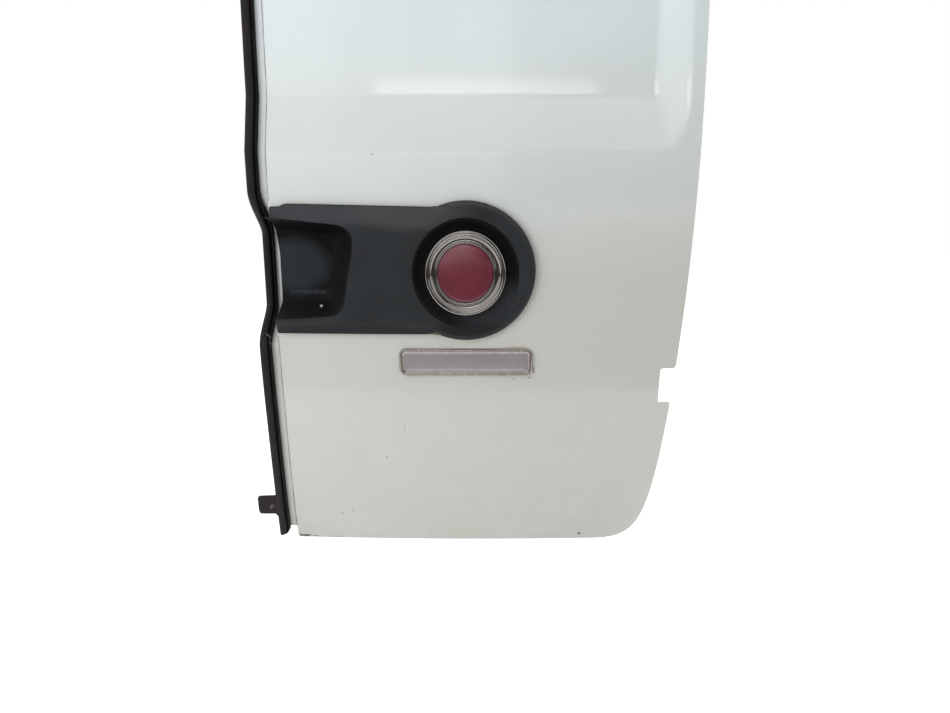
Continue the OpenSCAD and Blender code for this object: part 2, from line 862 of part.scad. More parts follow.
module release_lever()
  color("#1c1d1f")
    at_seat()
      translate([board_x - bezel_w * 0.2, 0, board_foot + board_h * 0.786])
        prism(leaf_d + board_t + 0.4, leaf_d + board_t + 6)
          rounded(bezel_w * 0.43, bezel_h * 0.41, bezel_h * 0.1);

module pull_handle()
  color("#222325")
    at_seat()
      translate([board_x, leaf_d + 0.3 + board_t, board_foot + board_h * 0.669])
        difference() {
          translate([-pull_w / 2, 0.2, -pull_h / 2])
            cube([pull_w, pull_d, pull_h]);
          translate([-pull_w * 0.367, -1, -pull_h])
            cube([pull_w * 0.733, pull_d * 0.7, pull_h * 2]);
        }

module check_bracket()
  color("#7d8184")
    at_seat()
      translate([seat_x - pad_t - bracket_w - 4, leaf_d + 0.2, seat_z - notch_h / 2 - bracket_h - 20])
        difference() {
          cube([bracket_w, board_t, bracket_h]);
          for (z = [bracket_h * 0.2, bracket_h * 0.8])
            translate([bracket_w / 2, 5, z])
              rotate([90, 0, 0])
                cylinder(d = 8, h = 10, center = true, $fn = 48);
        }

// Round part on the inner panel
module stud(x, z, r, h)
  translate([x, leaf_d + h, z])
    rotate([90, 0, 0])
      cylinder(r = r, h = h, $fn = 48);

module fixings()
  color("#9a9c9b")
    at_seat() {
      for (k = [-1, 1], m = [-1, 1])
        translate([0, latch_t + 0.3, 0])
          stud(latch_x + k * latch_w * 0.4, latch_z + m * latch_h * 0.38, screw_r, screw_r / 2);
      for (z = [case_z + case_h / 2, leaf_h - 40 - case_h / 2], k = [-1, 1])
        translate([0, latch_t + 0.3, 0])
          stud(bolt_x + k * case_w * 0.36, z, screw_r, screw_r / 2);
      for (k = [-1, 1])
        translate([0, pull_d + board_t + 0.6, 0])
          stud(board_x + k * pull_w * 0.43, board_foot + board_h * 0.669, screw_r, screw_r / 2);
    }

module edge_buffers()
  color("#19191a")
    at_seat()
      for (z = [leaf_h * 0.0323, leaf_h * 0.9355])
        stud(leaf_w * 0.836, z, buffer_r, buffer_r / 2);

module drain_plugs()
  color("#1b1b1c")
    at_seat()
      for (k = [-0.26, 0, 0.26])
        stud(mid_x + 15 + k * leaf_w, leaf_h * 0.028, plug_r, plug_r / 4);

module blanking_grommets()
  color("#1b1b1c")
    at_seat()
      for (x = [leaf_w * 0.18, leaf_w * 0.77], k = [0.2, 0.907])
        stud(x, shoulder_z + k * (leaf_h - shoulder_z), grommet_r, grommet_r / 5);

outer_skin();
upper_rim();
hem();
upper_hem();
side_frame();
pillar_frame();
inner_panel();
panel_beads();
free_edge_flange();
free_edge_return();
seal_bulb();
seal_lip();
seal_lug();
handle_trim();
grip_cup();
scoop_pressing();
emblem_seat();
emblem_bezel();
emblem_disc();
badge_frame();
badge_plate();
hinge_seat_lower_pad();
hinge_seat_upper_pad();
nut_plate_lower();
nut_plate_upper();
crossbar();
latch_case();
latch_claw();
upper_bolt_case();
upper_bolt();
lower_bolt_case();
lower_bolt();
upper_rod();
lower_rod();
trim_board();
board_clips();
release_bezel();
release_lever();
pull_handle();
check_bracket();
edge_buffers();
drain_plugs();
blanking_grommets();
rod_guides();
fixings();
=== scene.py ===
"""Rear barn door leaf of a campervan.

The pressed shell, its edge seal, the handle plate and the fittings of the inner side.
"""

import logging
import math
from collections.abc import Iterator
from contextlib import contextmanager
from dataclasses import dataclass
from enum import Enum

import bpy
import numpy as np
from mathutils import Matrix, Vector


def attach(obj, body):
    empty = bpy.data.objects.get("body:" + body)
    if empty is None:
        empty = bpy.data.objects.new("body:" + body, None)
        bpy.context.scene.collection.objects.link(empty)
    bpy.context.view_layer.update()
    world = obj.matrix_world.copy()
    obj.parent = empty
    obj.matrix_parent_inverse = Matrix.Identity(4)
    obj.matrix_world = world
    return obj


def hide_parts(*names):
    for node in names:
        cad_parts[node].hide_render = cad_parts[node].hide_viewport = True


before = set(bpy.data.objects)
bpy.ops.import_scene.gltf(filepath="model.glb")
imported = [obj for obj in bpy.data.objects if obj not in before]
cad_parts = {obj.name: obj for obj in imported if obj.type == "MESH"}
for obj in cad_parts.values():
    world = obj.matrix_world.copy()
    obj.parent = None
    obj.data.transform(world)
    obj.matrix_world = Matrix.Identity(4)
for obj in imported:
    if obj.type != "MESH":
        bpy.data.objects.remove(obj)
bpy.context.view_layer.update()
LOG = logging.getLogger("barn_door")
MM = 1000.0  # millimetres to the metre
THROUGH = 1000.0  # metres of depth, so that a mark lies on any surface behind its place
OUTWARDS = Vector((0, -1, 0))
INWARDS = Vector((0, 1, 0))
WHITE = (1.0, 1.0, 1.0, 1.0)

Points = np.ndarray
Mesh = bpy.types.Object
Material = bpy.types.Material
Tree = bpy.types.NodeTree
Socket = bpy.types.NodeSocket
Pair = tuple[float, float]
Pairs = list[Pair]
Triple = tuple[float, float, float]
Colour = tuple[float, float, float, float]


# The leaf's form


def eased(t: Points) -> Points:
    """A share from 0 to 1 that starts and stops softly."""
    return t * t * (3 - 2 * t)


@dataclass(frozen=True)
class LeafForm:
    """The pressed form of the leaf.

    Sizes are millimetres: x from the seal's inner edge, y behind the waist crease, z from the leaf's foot.
    """

    height: float = 1860.0
    width: float = 777.0
    crown_radius: float = 6000.0
    sheet: float = 1.6
    crease: float = 767.0
    shoulder: float = 863.0
    shoulder_depth: float = 32.5
    rim_foot: float = 702.0
    rim_slope: float = 46.0
    tuck_radius: float = 4000.0
    lean: float = 31.3 / (1860.0 - 767.0)
    head_lean: float = 12.1
    head_from: float = 1302.0
    head_span: float = 558.0
    panel_gap: float = 42.0
    panel_fall: float = 60.0
    widest: float = 900.24
    above_widest: float = 959.76
    bow_head: float = 73.8
    bow_foot: float = 43.51
    corner: float = 110.0
    foot_reach: float = 108.78
    foot_decay: float = 0.22
    seat_x: float = 731.478
    seat_z: float = 339.0
    seat_top_z: float = 1329.9
    seat_depth: float = 36.0
    notch: float = 68.0
    strip: float = 13.0
    dip_depth: float = 90.0
    dip_foot: Pair = (415.0, 75.0)
    dip_head: Pair = (620.0, 85.0)

    @property
    def middle(self) -> float:
        """Distance of the crown's middle line from the seal."""
        return self.width / 2 - 3.5

    @property
    def step(self) -> float:
        """Depth of the upper panel below its rim."""
        return self.shoulder_depth - (self.shoulder - self.crease) * self.lean

    @property
    def seat_y(self) -> float:
        """Depth of the hinge seats' middle."""
        return (self.crease - self.seat_z) ** 2 / (2 * self.tuck_radius) + self.seat_depth

    def rim(self, z: Points) -> Points:
        """Depth of the outermost surface at a height."""
        low = (self.crease - z) ** 2 / (2 * self.tuck_radius)
        head = self.head_lean * (np.maximum(0, z - self.head_from) / self.head_span) ** 2
        return np.where(z < self.crease, low, (z - self.crease) * self.lean + head)

    def sunk(self, z: Points) -> Points:
        """Share of the upper panel's depth that is reached at a height."""
        up = (z - self.crease) / (self.shoulder - self.crease)
        down = (self.height - self.panel_gap - z) / self.panel_fall
        return np.clip(np.minimum(up, down), 0, 1)

    def rim_line(self, z: Points) -> Points:
        """Distance of the foot of the raised rim at a height."""
        return self.rim_foot - self.bow_head * (np.maximum(0, z - self.widest) / self.above_widest) ** 2

    def press(self, x: Points, z: Points) -> Points:
        """Depth of the pressed face without its crown."""
        u = np.clip((self.rim_line(z) + self.rim_slope - x) / self.rim_slope, 0, 1)
        k = self.sunk(z)
        return self.rim(z) + self.step * np.clip(1 - np.hypot(1 - u, 1 - k), 0, 1)

    def crown(self, x: Points) -> Points:
        """Depth that the crown adds across the leaf."""
        return (x - self.middle) ** 2 / (2 * self.crown_radius)

    def face(self, x: Points, z: Points, across: float = 7.0, along: float = 3.2) -> Points:
        """Depth of the outer face with its folds rounded.

        Args:
            x: Distances from the seal.
            z: Heights.
            across: Half the width over which folds that run up the leaf are rounded.
            along: Half the height over which folds that run across the leaf are rounded.

        Returns:
            Depths, one for each point.
        """
        total, shifts = 0.0, (-1, -0.5, 0, 0.5, 1)
        for i in shifts:
            for j in shifts:
                total = total + self.press(x + i * across, z + j * along)
        return total / len(shifts) ** 2 + self.crown(x)

    def depth(self, x: float, z: float) -> float:
        """Depth of the outer face at one point."""
        return float(self.face(np.array([x]), np.array([z]))[0])

    def dip(self, z: Points) -> Points:
        """Share by which the free edge runs back behind the hand scoop."""
        up, down = (np.clip((z - start) / span, 0, 1) for start, span in (self.dip_foot, self.dip_head))
        return eased(up) * (1 - eased(down))

    def edge(self, z: Points) -> Points:
        """Depth of the free edge at a height."""
        line = self.rim(z) + self.step * self.sunk(z) + self.crown(np.full_like(z, self.strip))
        return line + (self.dip_depth - line) * self.dip(z)

    def side(self, z: Points) -> Points:
        """Distance of the hinge side's outline at a height."""
        foot = self.foot_reach * np.exp(-self.foot_decay * np.sqrt(np.maximum(0, z)))
        over = np.maximum(0, z - self.height + self.corner)
        head = self.corner - np.sqrt(np.maximum(0, self.corner**2 - over**2))
        low = self.bow_foot * ((self.widest - z) / self.widest) ** 2
        high = self.bow_head * ((z - self.widest) / self.above_widest) ** 2
        return self.width - foot - head - np.where(z < self.widest, low, high)

    def place(self, points: Points) -> Points:
        """Points in the row frame, in metres."""
        return (points - np.array([self.seat_x, self.seat_y, self.seat_z])) / MM


FORM = LeafForm()


# Modelling by hand


def let_go() -> None:
    """Leaves edit mode and deselects every object."""
    if bpy.context.mode != "OBJECT":
        bpy.ops.object.mode_set(mode="OBJECT")
    bpy.ops.object.select_all(action="DESELECT")


def hold(piece: Mesh) -> None:
    """Selects one object alone."""
    let_go()
    bpy.context.view_layer.objects.active = piece
    piece.select_set(True)


@contextmanager
def editing(piece: Mesh, select: str = "SELECT") -> Iterator[None]:
    """Edit mode on one object alone, with all or nothing of it selected at first."""
    hold(piece)
    bpy.ops.object.mode_set(mode="EDIT")
    bpy.ops.mesh.select_all(action=select)
    yield
    bpy.ops.object.mode_set(mode="OBJECT")


def named(name: str) -> Mesh:
    """Names the object that was just added."""
    piece = bpy.context.active_object
    piece.name = name
    piece.data.name = name
    return piece


def laid(piece: Mesh, points: Points) -> None:
    """Moves a mesh's vertices to places in the row frame."""
    piece.data.vertices.foreach_set("co", points.ravel())
    piece.data.update()


def tidy(piece: Mesh, facing: Vector | None = None) -> None:
    """Merges doubles and turns the faces outwards.

    Args:
        piece: The mesh to tidy.
        facing: For an open sheet, the way its faces look on the whole.
    """
    with editing(piece):
        bpy.ops.mesh.remove_doubles(threshold=1e-5)
        bpy.ops.mesh.normals_make_consistent(inside=False)
    if facing is not None:
        total = sum((p.normal * p.area for p in piece.data.polygons), Vector())
        if total.dot(facing) < 0:
            piece.data.flip_normals()


def lofted(name: str, points: Points, ring: bool = False, facing: Vector | None = None) -> Mesh:
    """Lays a grid over rows of points, as a sheet is laid over formers.

    Args:
        name: The piece's name.
        points: Rows by columns by three, in leaf millimetres.
        ring: True where the last column meets the first.
        facing: For an open sheet, the way its faces look.

    Returns:
        The mesh object.
    """
    if ring:
        points = np.concatenate([points, points[:, :1]], axis=1)
    rows, columns = points.shape[:2]
    let_go()
    bpy.ops.mesh.primitive_grid_add(x_subdivisions=columns - 1, y_subdivisions=rows - 1, size=1)
    piece = named(name)
    co = np.zeros(len(piece.data.vertices) * 3)
    piece.data.vertices.foreach_get("co", co)
    co = co.reshape(-1, 3).round(5)
    places = np.empty_like(co)
    places[np.lexsort((co[:, 0], co[:, 1]))] = FORM.place(points.reshape(-1, 3))
    laid(piece, places)
    tidy(piece, facing)
    return piece


def plate(name: str, outline: Pairs, front: float, back: float) -> Mesh:
    """Fills an outline in front view and extrudes it along the leaf's depth.

    Args:
        name: The piece's name.
        outline: Corners as distance and height, in leaf millimetres.
        front: Depth of the front face.
        back: Depth of the back face.

    Returns:
        The solid.
    """
    let_go()
    bpy.ops.mesh.primitive_circle_add(vertices=len(outline), radius=1, fill_type="NGON")
    piece = named(name)
    laid(piece, FORM.place(np.array([[x, front, z] for x, z in outline], float)))
    with editing(piece):
        move = {"value": (0, (back - front) / MM, 0)}
        bpy.ops.mesh.extrude_region_move(TRANSFORM_OT_translate=move)
    tidy(piece)
    return piece


@dataclass(frozen=True)
class Turning:
    """A working plane in leaf millimetres: its origin, its right and up directions, and out of it."""

    origin: Triple
    right: Triple = (1, 0, 0)
    up: Triple = (0, 0, 1)
    out: Triple = (0, -1, 0)

    def at(self, a: float, b: float, h: float) -> Points:
        """The point a to the right, b up and h out of the plane."""
        o, r, u, n = (np.array(v, float) for v in (self.origin, self.right, self.up, self.out))
        return o + r * a + u * b + n * h


def turned(name: str, profile: Pairs, base: Turning, steps: int = 96, tall: float = 1.0) -> Mesh:
    """Spins a profile about an axis.

    Args:
        name: The piece's name.
        profile: Radius and height pairs, along the axis.
        base: The place and direction of the axis.
        steps: Number of steps round the axis.
        tall: How much taller than wide the round is.

    Returns:
        The mesh object.
    """
    turns = [2 * math.pi * i / steps for i in range(steps)]
    rows = [
        [base.at(radius * math.cos(a), tall * radius * math.sin(a), height) for a in turns]
        for radius, height in profile
    ]
    return lofted(name, np.array(rows), ring=True)


def applied(piece: Mesh, kind: str, **settings: object) -> None:
    """Adds a modifier with its settings and applies it.

    Args:
        piece: The mesh.
        kind: The modifier's type.
        settings: Its properties by name.
    """
    modifier = piece.modifiers.new(kind.lower(), kind)
    for key, value in settings.items():
        setattr(modifier, key, value)
    hold(piece)
    bpy.ops.object.modifier_apply(modifier=modifier.name)


def cut(piece: Mesh, *cutters: Mesh, how: str = "DIFFERENCE") -> None:
    """Cuts a piece with others, which are used up.

    Args:
        piece: The piece to cut.
        cutters: Closed solids.
        how: The Boolean operation.
    """
    for cutter in cutters:
        applied(piece, "BOOLEAN", operation=how, solver="EXACT", object=cutter)
        bpy.data.objects.remove(cutter)


def rounded_off(piece: Mesh, width: float, angle: float = 40.0, segments: int = 3) -> None:
    """Rounds a piece's sharp edges.

    Args:
        piece: The mesh.
        width: Width of the rounding in millimetres.
        angle: Least angle of an edge that is rounded, in degrees.
        segments: Faces across the rounding.
    """
    applied(
        piece, "BEVEL", width=width / MM, segments=segments, limit_method="ANGLE",
        angle_limit=math.radians(angle), use_clamp_overlap=True,
    )


def copied(name: str, source: str) -> Mesh:
    """A merged copy of a CAD node with its flat faces whole, ready to be shaped."""
    piece = bpy.data.objects.new(name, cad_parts[source].data.copy())
    piece.data.name = name
    bpy.context.scene.collection.objects.link(piece)
    hold(piece)
    if piece.data.has_custom_normals:
        bpy.ops.mesh.customdata_custom_splitnormals_clear()
    tidy(piece)
    with editing(piece):
        bpy.ops.mesh.dissolve_limited(angle_limit=math.radians(0.6))
    return piece


def joined(name: str, pieces: list[Mesh]) -> Mesh:
    """Joins pieces into one object."""
    hold(pieces[0])
    for piece in pieces[1:]:
        piece.select_set(True)
    bpy.ops.object.join()
    return named(name)


def closed(piece: Mesh, bridged: bool = False) -> None:
    """Fills a mesh's open loops, or bridges them with a wall."""
    with editing(piece, "DESELECT"):
        bpy.ops.mesh.select_non_manifold()
        if bridged:
            bpy.ops.mesh.bridge_edge_loops()
        else:
            bpy.ops.mesh.edge_face_add()
        bpy.ops.mesh.select_all(action="SELECT")
        bpy.ops.mesh.normals_make_consistent(inside=False)


def round_rect(w: float, h: float, r: float, n: int = 8) -> Pairs:
    """Corners of a rounded rectangle about its middle, n steps to a quarter turn."""
    out = []
    for q in range(4):
        cx = (w / 2 - r) * (1 if q in (0, 3) else -1)
        cz = (h / 2 - r) * (1 if q < 2 else -1)
        for i in range(n + 1):
            a = math.pi / 2 * (q + i / n)
            out.append((cx + r * math.cos(a), cz + r * math.sin(a)))
    return out


# Finishes


def linear(colour: str) -> Colour:
    """An sRGB hex colour as linear red, green, blue and alpha."""
    parts = [int(colour[i : i + 2], 16) / 255 for i in (1, 3, 5)]
    r, g, b = (c / 12.92 if c <= 0.04045 else ((c + 0.055) / 1.055) ** 2.4 for c in parts)
    return (r, g, b, 1.0)


def node(tree: Tree, kind: str, sockets: dict | None = None, **settings: object) -> bpy.types.Node:
    """Adds a shader node.

    Args:
        tree: The material's or world's tree.
        kind: The node's type, without its first two words.
        sockets: Values for its inputs, or the outputs that feed them.
        settings: Its properties by name.

    Returns:
        The node.
    """
    made = tree.nodes.new("ShaderNode" + kind)
    for key, value in settings.items():
        setattr(made, key, value)
    for key, value in (sockets or {}).items():
        if isinstance(value, Socket):
            tree.links.new(value, made.inputs[key])
        else:
            made.inputs[key].default_value = value
    return made


def seen_white(tree: Tree) -> Socket:
    """1 for rays of the camera, of mirrors and through glass, 0 for those that light."""
    path = node(tree, "LightPath").outputs
    seen = path["Is Camera Ray"]
    for kind in ("Is Glossy Ray", "Is Transmission Ray"):
        seen = node(tree, "Math", {0: seen, 1: path[kind]}, operation="MAXIMUM").outputs[0]
    return seen


class Slot(Enum):
    """The record's material slots."""

    PAINT = "white_paint"
    SEAL = "seal_rubber"
    GRAINED = "grained_plastic"
    SATIN = "smooth_plastic"
    CHROME = "worn_chrome"
    ENAMEL = "red_enamel"
    BADGE = "badge_face"
    ZINC = "zinc_steel"
    BOARD = "grey_board"


@dataclass(frozen=True)
class Mark:
    """A stain, chip or scratch, or a patch of painted shade or highlight, at a place on the outer face.

    Sizes are half widths in leaf millimetres, and tilt is in degrees.
    """

    x: float
    z: float
    wide: float
    high: float
    colour: str
    strength: float = 1.0
    ragged: float = 0.5
    tilt: float = 0.0


@dataclass
class Mixture:
    """A material in the making: its nodes, the coordinates they read and the colour laid so far."""

    made: Material
    tree: Tree
    shader: bpy.types.Node
    where: Socket
    colour: Socket | Colour

    def axis(self, name: str, vector: Socket | None = None) -> Socket:
        """One part of a vector, or else of the coordinates."""
        source = self.where if vector is None else vector
        return node(self.tree, "SeparateXYZ", {"Vector": source}).outputs[name]

    def noise(
        self, size: float, detail: float = 3.0, stretch: Triple = (1, 1, 1), rough: float = 0.5
    ) -> Socket:
        """Noise from 0 to 1.

        Args:
            size: Width of a lump in millimetres.
            detail: Octaves of finer noise.
            stretch: How much longer a lump is along each axis.
            rough: Strength of the finer noise.

        Returns:
            The noise.
        """
        scale = tuple(MM / size / s for s in stretch)
        mapped = node(self.tree, "Mapping", {"Vector": self.where, "Scale": scale}).outputs["Vector"]
        sockets = {"Vector": mapped, "Scale": 1.0, "Detail": detail, "Roughness": rough}
        return node(self.tree, "TexNoise", sockets).outputs["Fac"]

    def cells(self, size: float, feature: str) -> Socket:
        """A feature of cells of a size in millimetres."""
        sockets = {"Vector": self.where, "Scale": MM / size}
        return node(self.tree, "TexVoronoi", sockets, feature=feature).outputs["Distance"]

    def fit(
        self, value: Socket, low: float, high: float, to_low: float = 0.0, to_high: float = 1.0
    ) -> Socket:
        """The value moved from one range to another, and kept inside it."""
        sockets = {"Value": value, "From Min": low, "From Max": high, "To Min": to_low, "To Max": to_high}
        return node(self.tree, "MapRange", sockets).outputs["Result"]

    def times(self, a: Socket, b: Socket | float, how: str = "MULTIPLY") -> Socket:
        """Two values multiplied, or joined by another operation."""
        return node(self.tree, "Math", {0: a, 1: b}, operation=how).outputs[0]

    def lay(self, colour: str, share: Socket) -> None:
        """Lays a colour over what is there, by a share."""
        sockets = {0: share, 6: self.colour, 7: linear(colour)}
        self.colour = node(self.tree, "Mix", sockets, data_type="RGBA").outputs[2]

    def mark(self, mark: Mark) -> Socket:
        """Lays one mark's colour.

        Args:
            mark: Its place, size and raggedness.

        Returns:
            Where it lies: from 0 to the mark's strength.
        """
        x, _, z = FORM.place(np.array([mark.x, 0, mark.z]))
        sockets = {
            "Vector": self.where, "Location": (x, 0, z), "Rotation": (0, math.radians(mark.tilt), 0),
            "Scale": (mark.wide / MM, THROUGH, mark.high / MM),
        }
        local = node(self.tree, "Mapping", sockets, vector_type="TEXTURE").outputs["Vector"]
        reach = node(self.tree, "VectorMath", {0: local}, operation="LENGTH").outputs["Value"]
        edge = self.noise(max(1.6, min(mark.wide, mark.high) * 1.4), 3)
        torn = self.times(reach, self.fit(edge, 0.3, 0.7, -mark.ragged, mark.ragged), "ADD")
        share = self.fit(torn, 1.0, 0.62, 0, mark.strength)
        self.lay(mark.colour, share)
        return share

    def done(self, rough: Socket | None, *relief: tuple[Socket, float], **values: float) -> Material:
        """Feeds the shader.

        Args:
            rough: The roughness, where it varies.
            relief: Patterns and their heights in millimetres.
            values: Plain inputs by name, with low lines for spaces.

        Returns:
            The finished material.
        """
        self.tree.links.new(self.colour, self.shader.inputs["Base Color"])
        if rough is not None:
            self.tree.links.new(rough, self.shader.inputs["Roughness"])
        for name, value in values.items():
            self.shader.inputs[name.replace("_", " ")].default_value = value
        normal = {}
        for pattern, height in relief:
            sockets = {"Height": pattern, "Distance": height / MM, "Strength": 1.0, **normal}
            normal = {"Normal": node(self.tree, "Bump", sockets).outputs["Normal"]}
        for socket in normal.values():
            self.tree.links.new(socket, self.shader.inputs["Normal"])
        return self.made


@dataclass(frozen=True)
class Finish:
    """What all finishes share: a name, a colour and a roughness."""

    name: str
    colour: str
    roughness: float

    def start(self, under: str = "") -> Mixture:
        """A new material that starts from the finish's colour, or from one that lies under it."""
        made = bpy.data.materials.new(self.name)
        made.use_nodes = True
        tree = made.node_tree
        tree.nodes.clear()
        first = linear(under or self.colour)
        shader = node(tree, "BsdfPrincipled", {"Base Color": first, "Roughness": self.roughness})
        node(tree, "OutputMaterial", {"Surface": shader.outputs["BSDF"]})
        return Mixture(made, tree, shader, node(tree, "TexCoord").outputs["Object"], first)


@dataclass(frozen=True)
class BodyPaint(Finish):
    """Two coat body enamel sprayed on steel, some twenty years old."""

    # Colour at the foot, which is painted shade: darker and warmer than the bluish top.
    low: str = "#CDCEC8"
    marks: tuple[Mark, ...] = ()
    dirt: float = 0.3

    def build(self) -> Material:
        """Glossy white gone dull, with orange peel, road film low down, and chips with rust round them;
        bluish above and darker, warmer below as painted reflection and shade.
        """
        mix = self.start(self.low)
        height = mix.axis("Z")
        cloud = mix.noise(260, 4)
        # Painted reflection and shade: from the darker, warmer foot colour up to the bluish top colour
        # above the waist.
        mix.lay(self.colour, mix.fit(height, 0.2, 0.62))
        mix.lay("#BFC4C4", mix.fit(cloud, 0.45, 0.75, 0, 0.3))
        blot = mix.fit(mix.noise(34, 5, (1.6, 1, 1), 0.6), 0.4, 0.7)
        film = mix.times(mix.fit(height, 0.1, -0.36), blot)
        mix.lay("#A9A79C", mix.times(film, self.dirt))
        speck = mix.fit(mix.noise(5.5, 1.5), 0.785, 0.82)
        mix.lay("#8A867E", mix.times(speck, 0.25 + 0.3 * self.dirt))
        rough = mix.fit(cloud, 0.3, 0.75, self.roughness - 0.05, self.roughness + 0.1)
        for mark in self.marks:
            rough = mix.times(rough, mix.times(mix.mark(mark), 0.3), "ADD")
        relief = ((mix.noise(110, 2), 0.25), (mix.noise(7, 2), 0.008), (speck, 0.05))
        return mix.done(rough, *relief, Coat_Weight=0.6, Coat_Roughness=0.085)


@dataclass(frozen=True)
class SpongeRubber(Finish):
    """EPDM sponge rubber, extruded, with its skin on."""

    marks: tuple[Mark, ...] = ()

    def build(self) -> Material:
        """Dull black, darker on the inner lobe, that greys where it is rubbed and browns with dust."""
        mix = self.start("#060507")
        drawn = mix.noise(3.2, 3, (1, 1, 30), 0.6)
        blot = mix.noise(26, 4, (1, 1, 2))
        mix.lay(self.colour, mix.fit(mix.axis("X"), -0.7385, -0.7402))
        dust = mix.times(mix.fit(blot, 0.42, 0.7), mix.fit(drawn, 0.35, 0.7))
        mix.lay("#4A423D", mix.times(dust, 0.3))
        scuff = mix.fit(mix.noise(2.4, 2, (1, 1, 3)), 0.72, 0.78)
        mix.lay("#6F6A63", mix.times(scuff, 0.25))
        for mark in self.marks:
            mix.mark(mark)
        rough = mix.fit(blot, 0.3, 0.7, self.roughness - 0.1, self.roughness + 0.12)
        return mix.done(rough, (drawn, 0.12), (mix.noise(1.6, 2), 0.08), Specular_IOR_Level=0.22)


@dataclass(frozen=True)
class MouldedPlastic(Finish):
    """Injection moulded plastic, grained by its mould."""

    grain: float = 1.3
    relief: float = 0.05
    dust: float = 0.25
    marks: tuple[Mark, ...] = ()
    bloom: str = "#33373A"
    shine: float = 0.32

    def build(self) -> Material:
        """Matt black that greys a little in sun, with fine grain and dust on what faces up."""
        mix = self.start()
        upward = mix.axis("Z", node(mix.tree, "NewGeometry").outputs["Normal"])
        cloud = mix.noise(60, 4)
        mix.lay(self.bloom, mix.fit(cloud, 0.35, 0.8, 0, 0.35))
        settled = mix.times(mix.fit(upward, -0.05, 0.5), mix.fit(mix.noise(3, 2), 0.3, 0.7, 0.4, 1))
        mix.lay("#6F6E70", mix.times(settled, self.dust))
        fleck = mix.fit(mix.noise(2.6, 1), 0.8, 0.84)
        mix.lay("#77756F", mix.times(fleck, 0.3))
        # Marks may be stains and scuffs, or painted shade and highlights.
        for mark in self.marks:
            mix.mark(mark)
        rough = mix.fit(cloud, 0.3, 0.7, self.roughness - 0.05, self.roughness + 0.08)
        grain = mix.cells(self.grain, "SMOOTH_F1")
        return mix.done(rough, (grain, self.relief), Specular_IOR_Level=self.shine)


@dataclass(frozen=True)
class ChromePlate(Finish):
    """Bright chromium plated on moulded plastic, dulled and pitted by weather."""

    relief: float = 0.05

    def build(self) -> Material:
        """A warm mirror with a haze, fine pits and grime."""
        mix = self.start()
        haze = mix.noise(14, 4)
        pits = mix.fit(mix.noise(1.4, 1), 0.72, 0.78)
        mix.lay("#8E867C", mix.fit(haze, 0.45, 0.75, 0, 0.5))
        mix.lay("#4A4540", mix.times(pits, 0.6))
        rough = mix.fit(haze, 0.35, 0.75, self.roughness, self.roughness + 0.16)
        return mix.done(rough, (haze, self.relief), (pits, self.relief * 0.8), Metallic=1.0)


@dataclass(frozen=True)
class LacqueredFace(Finish):
    """Tinted lacquer on a foil, under a clear dome."""

    tint: str = "#8A3548"
    metallic: float = 0.0
    brush: float = 0.0
    coat: float = 0.04

    def build(self) -> Material:
        """Deep colour with a shine on top, hazed by washing."""
        mix = self.start()
        haze = mix.noise(30, 3)
        mix.lay(self.tint, mix.fit(haze, 0.35, 0.75, 0, 0.6))
        brushed = mix.noise(1.6, 2, (14, 1, 1))
        rough = mix.fit(brushed, 0.3, 0.7, self.roughness - self.brush, self.roughness + self.brush)
        coat = {"Metallic": self.metallic, "Coat_Weight": 1.0, "Coat_Roughness": self.coat}
        return mix.done(rough, (haze, 0.08), **coat)


@dataclass(frozen=True)
class ZincPlate(Finish):
    """Pressed steel, zinc plated and passivated."""

    def build(self) -> Material:
        """Grey metal with cloudy yellow and white patches, greasy where parts slide."""
        mix = self.start()
        cloud = mix.noise(18, 4)
        mix.lay("#9C9373", mix.fit(cloud, 0.45, 0.75, 0, 0.5))
        spot = mix.fit(mix.noise(6, 3), 0.66, 0.74)
        mix.lay("#5A4634", mix.times(spot, 0.5))
        rough = mix.fit(cloud, 0.3, 0.75, self.roughness, self.roughness + 0.22)
        return mix.done(rough, (mix.noise(2, 2), 0.04), Metallic=1.0)


@dataclass(frozen=True)
class TrimVinyl(Finish):
    """Hardboard covered with embossed vinyl."""

    def build(self) -> Material:
        """Mid grey leather grain with pale scuffs."""
        mix = self.start()
        cells = mix.cells(4.5, "DISTANCE_TO_EDGE")
        mix.lay("#585A5C", mix.fit(cells, 0.16, 0.02, 0, 0.7))
        mix.lay("#8B8B88", mix.fit(mix.noise(120, 4), 0.5, 0.8, 0, 0.5))
        rub = mix.fit(mix.noise(14, 3, (6, 1, 1)), 0.66, 0.74)
        mix.lay("#A6A49E", mix.times(rub, 0.4))
        return mix.done(None, (mix.fit(cells, 0.0, 0.2), 0.25))


@dataclass(frozen=True)
class Paper(Finish):
    """Matt white studio paper under the leaf."""

    def build(self) -> Material:
        """White that keeps a soft shadow, and stays white to the camera and to mirrors."""
        mix = self.start()
        mix.tree.nodes.remove(mix.shader)
        mix.lay("#F1F1F1", mix.fit(mix.noise(3, 2), 0.4, 0.8, 0, 0.3))
        matt = node(mix.tree, "BsdfDiffuse", {"Color": mix.colour})
        strength = mix.times(seen_white(mix.tree), 0.6)
        glow = node(mix.tree, "Emission", {"Color": WHITE, "Strength": strength})
        both = node(mix.tree, "AddShader", {0: matt.outputs[0], 1: glow.outputs[0]})
        out = next(n for n in mix.tree.nodes if n.type == "OUTPUT_MATERIAL")
        mix.tree.links.new(both.outputs[0], out.inputs["Surface"])
        return mix.made


@dataclass(frozen=True)
class Felt(Finish):
    """Dark felt on a studio card."""

    def build(self) -> Material:
        """Nearly black, and a little uneven."""
        mix = self.start()
        mix.lay("#55524E", mix.noise(400, 2))
        return mix.done(None)


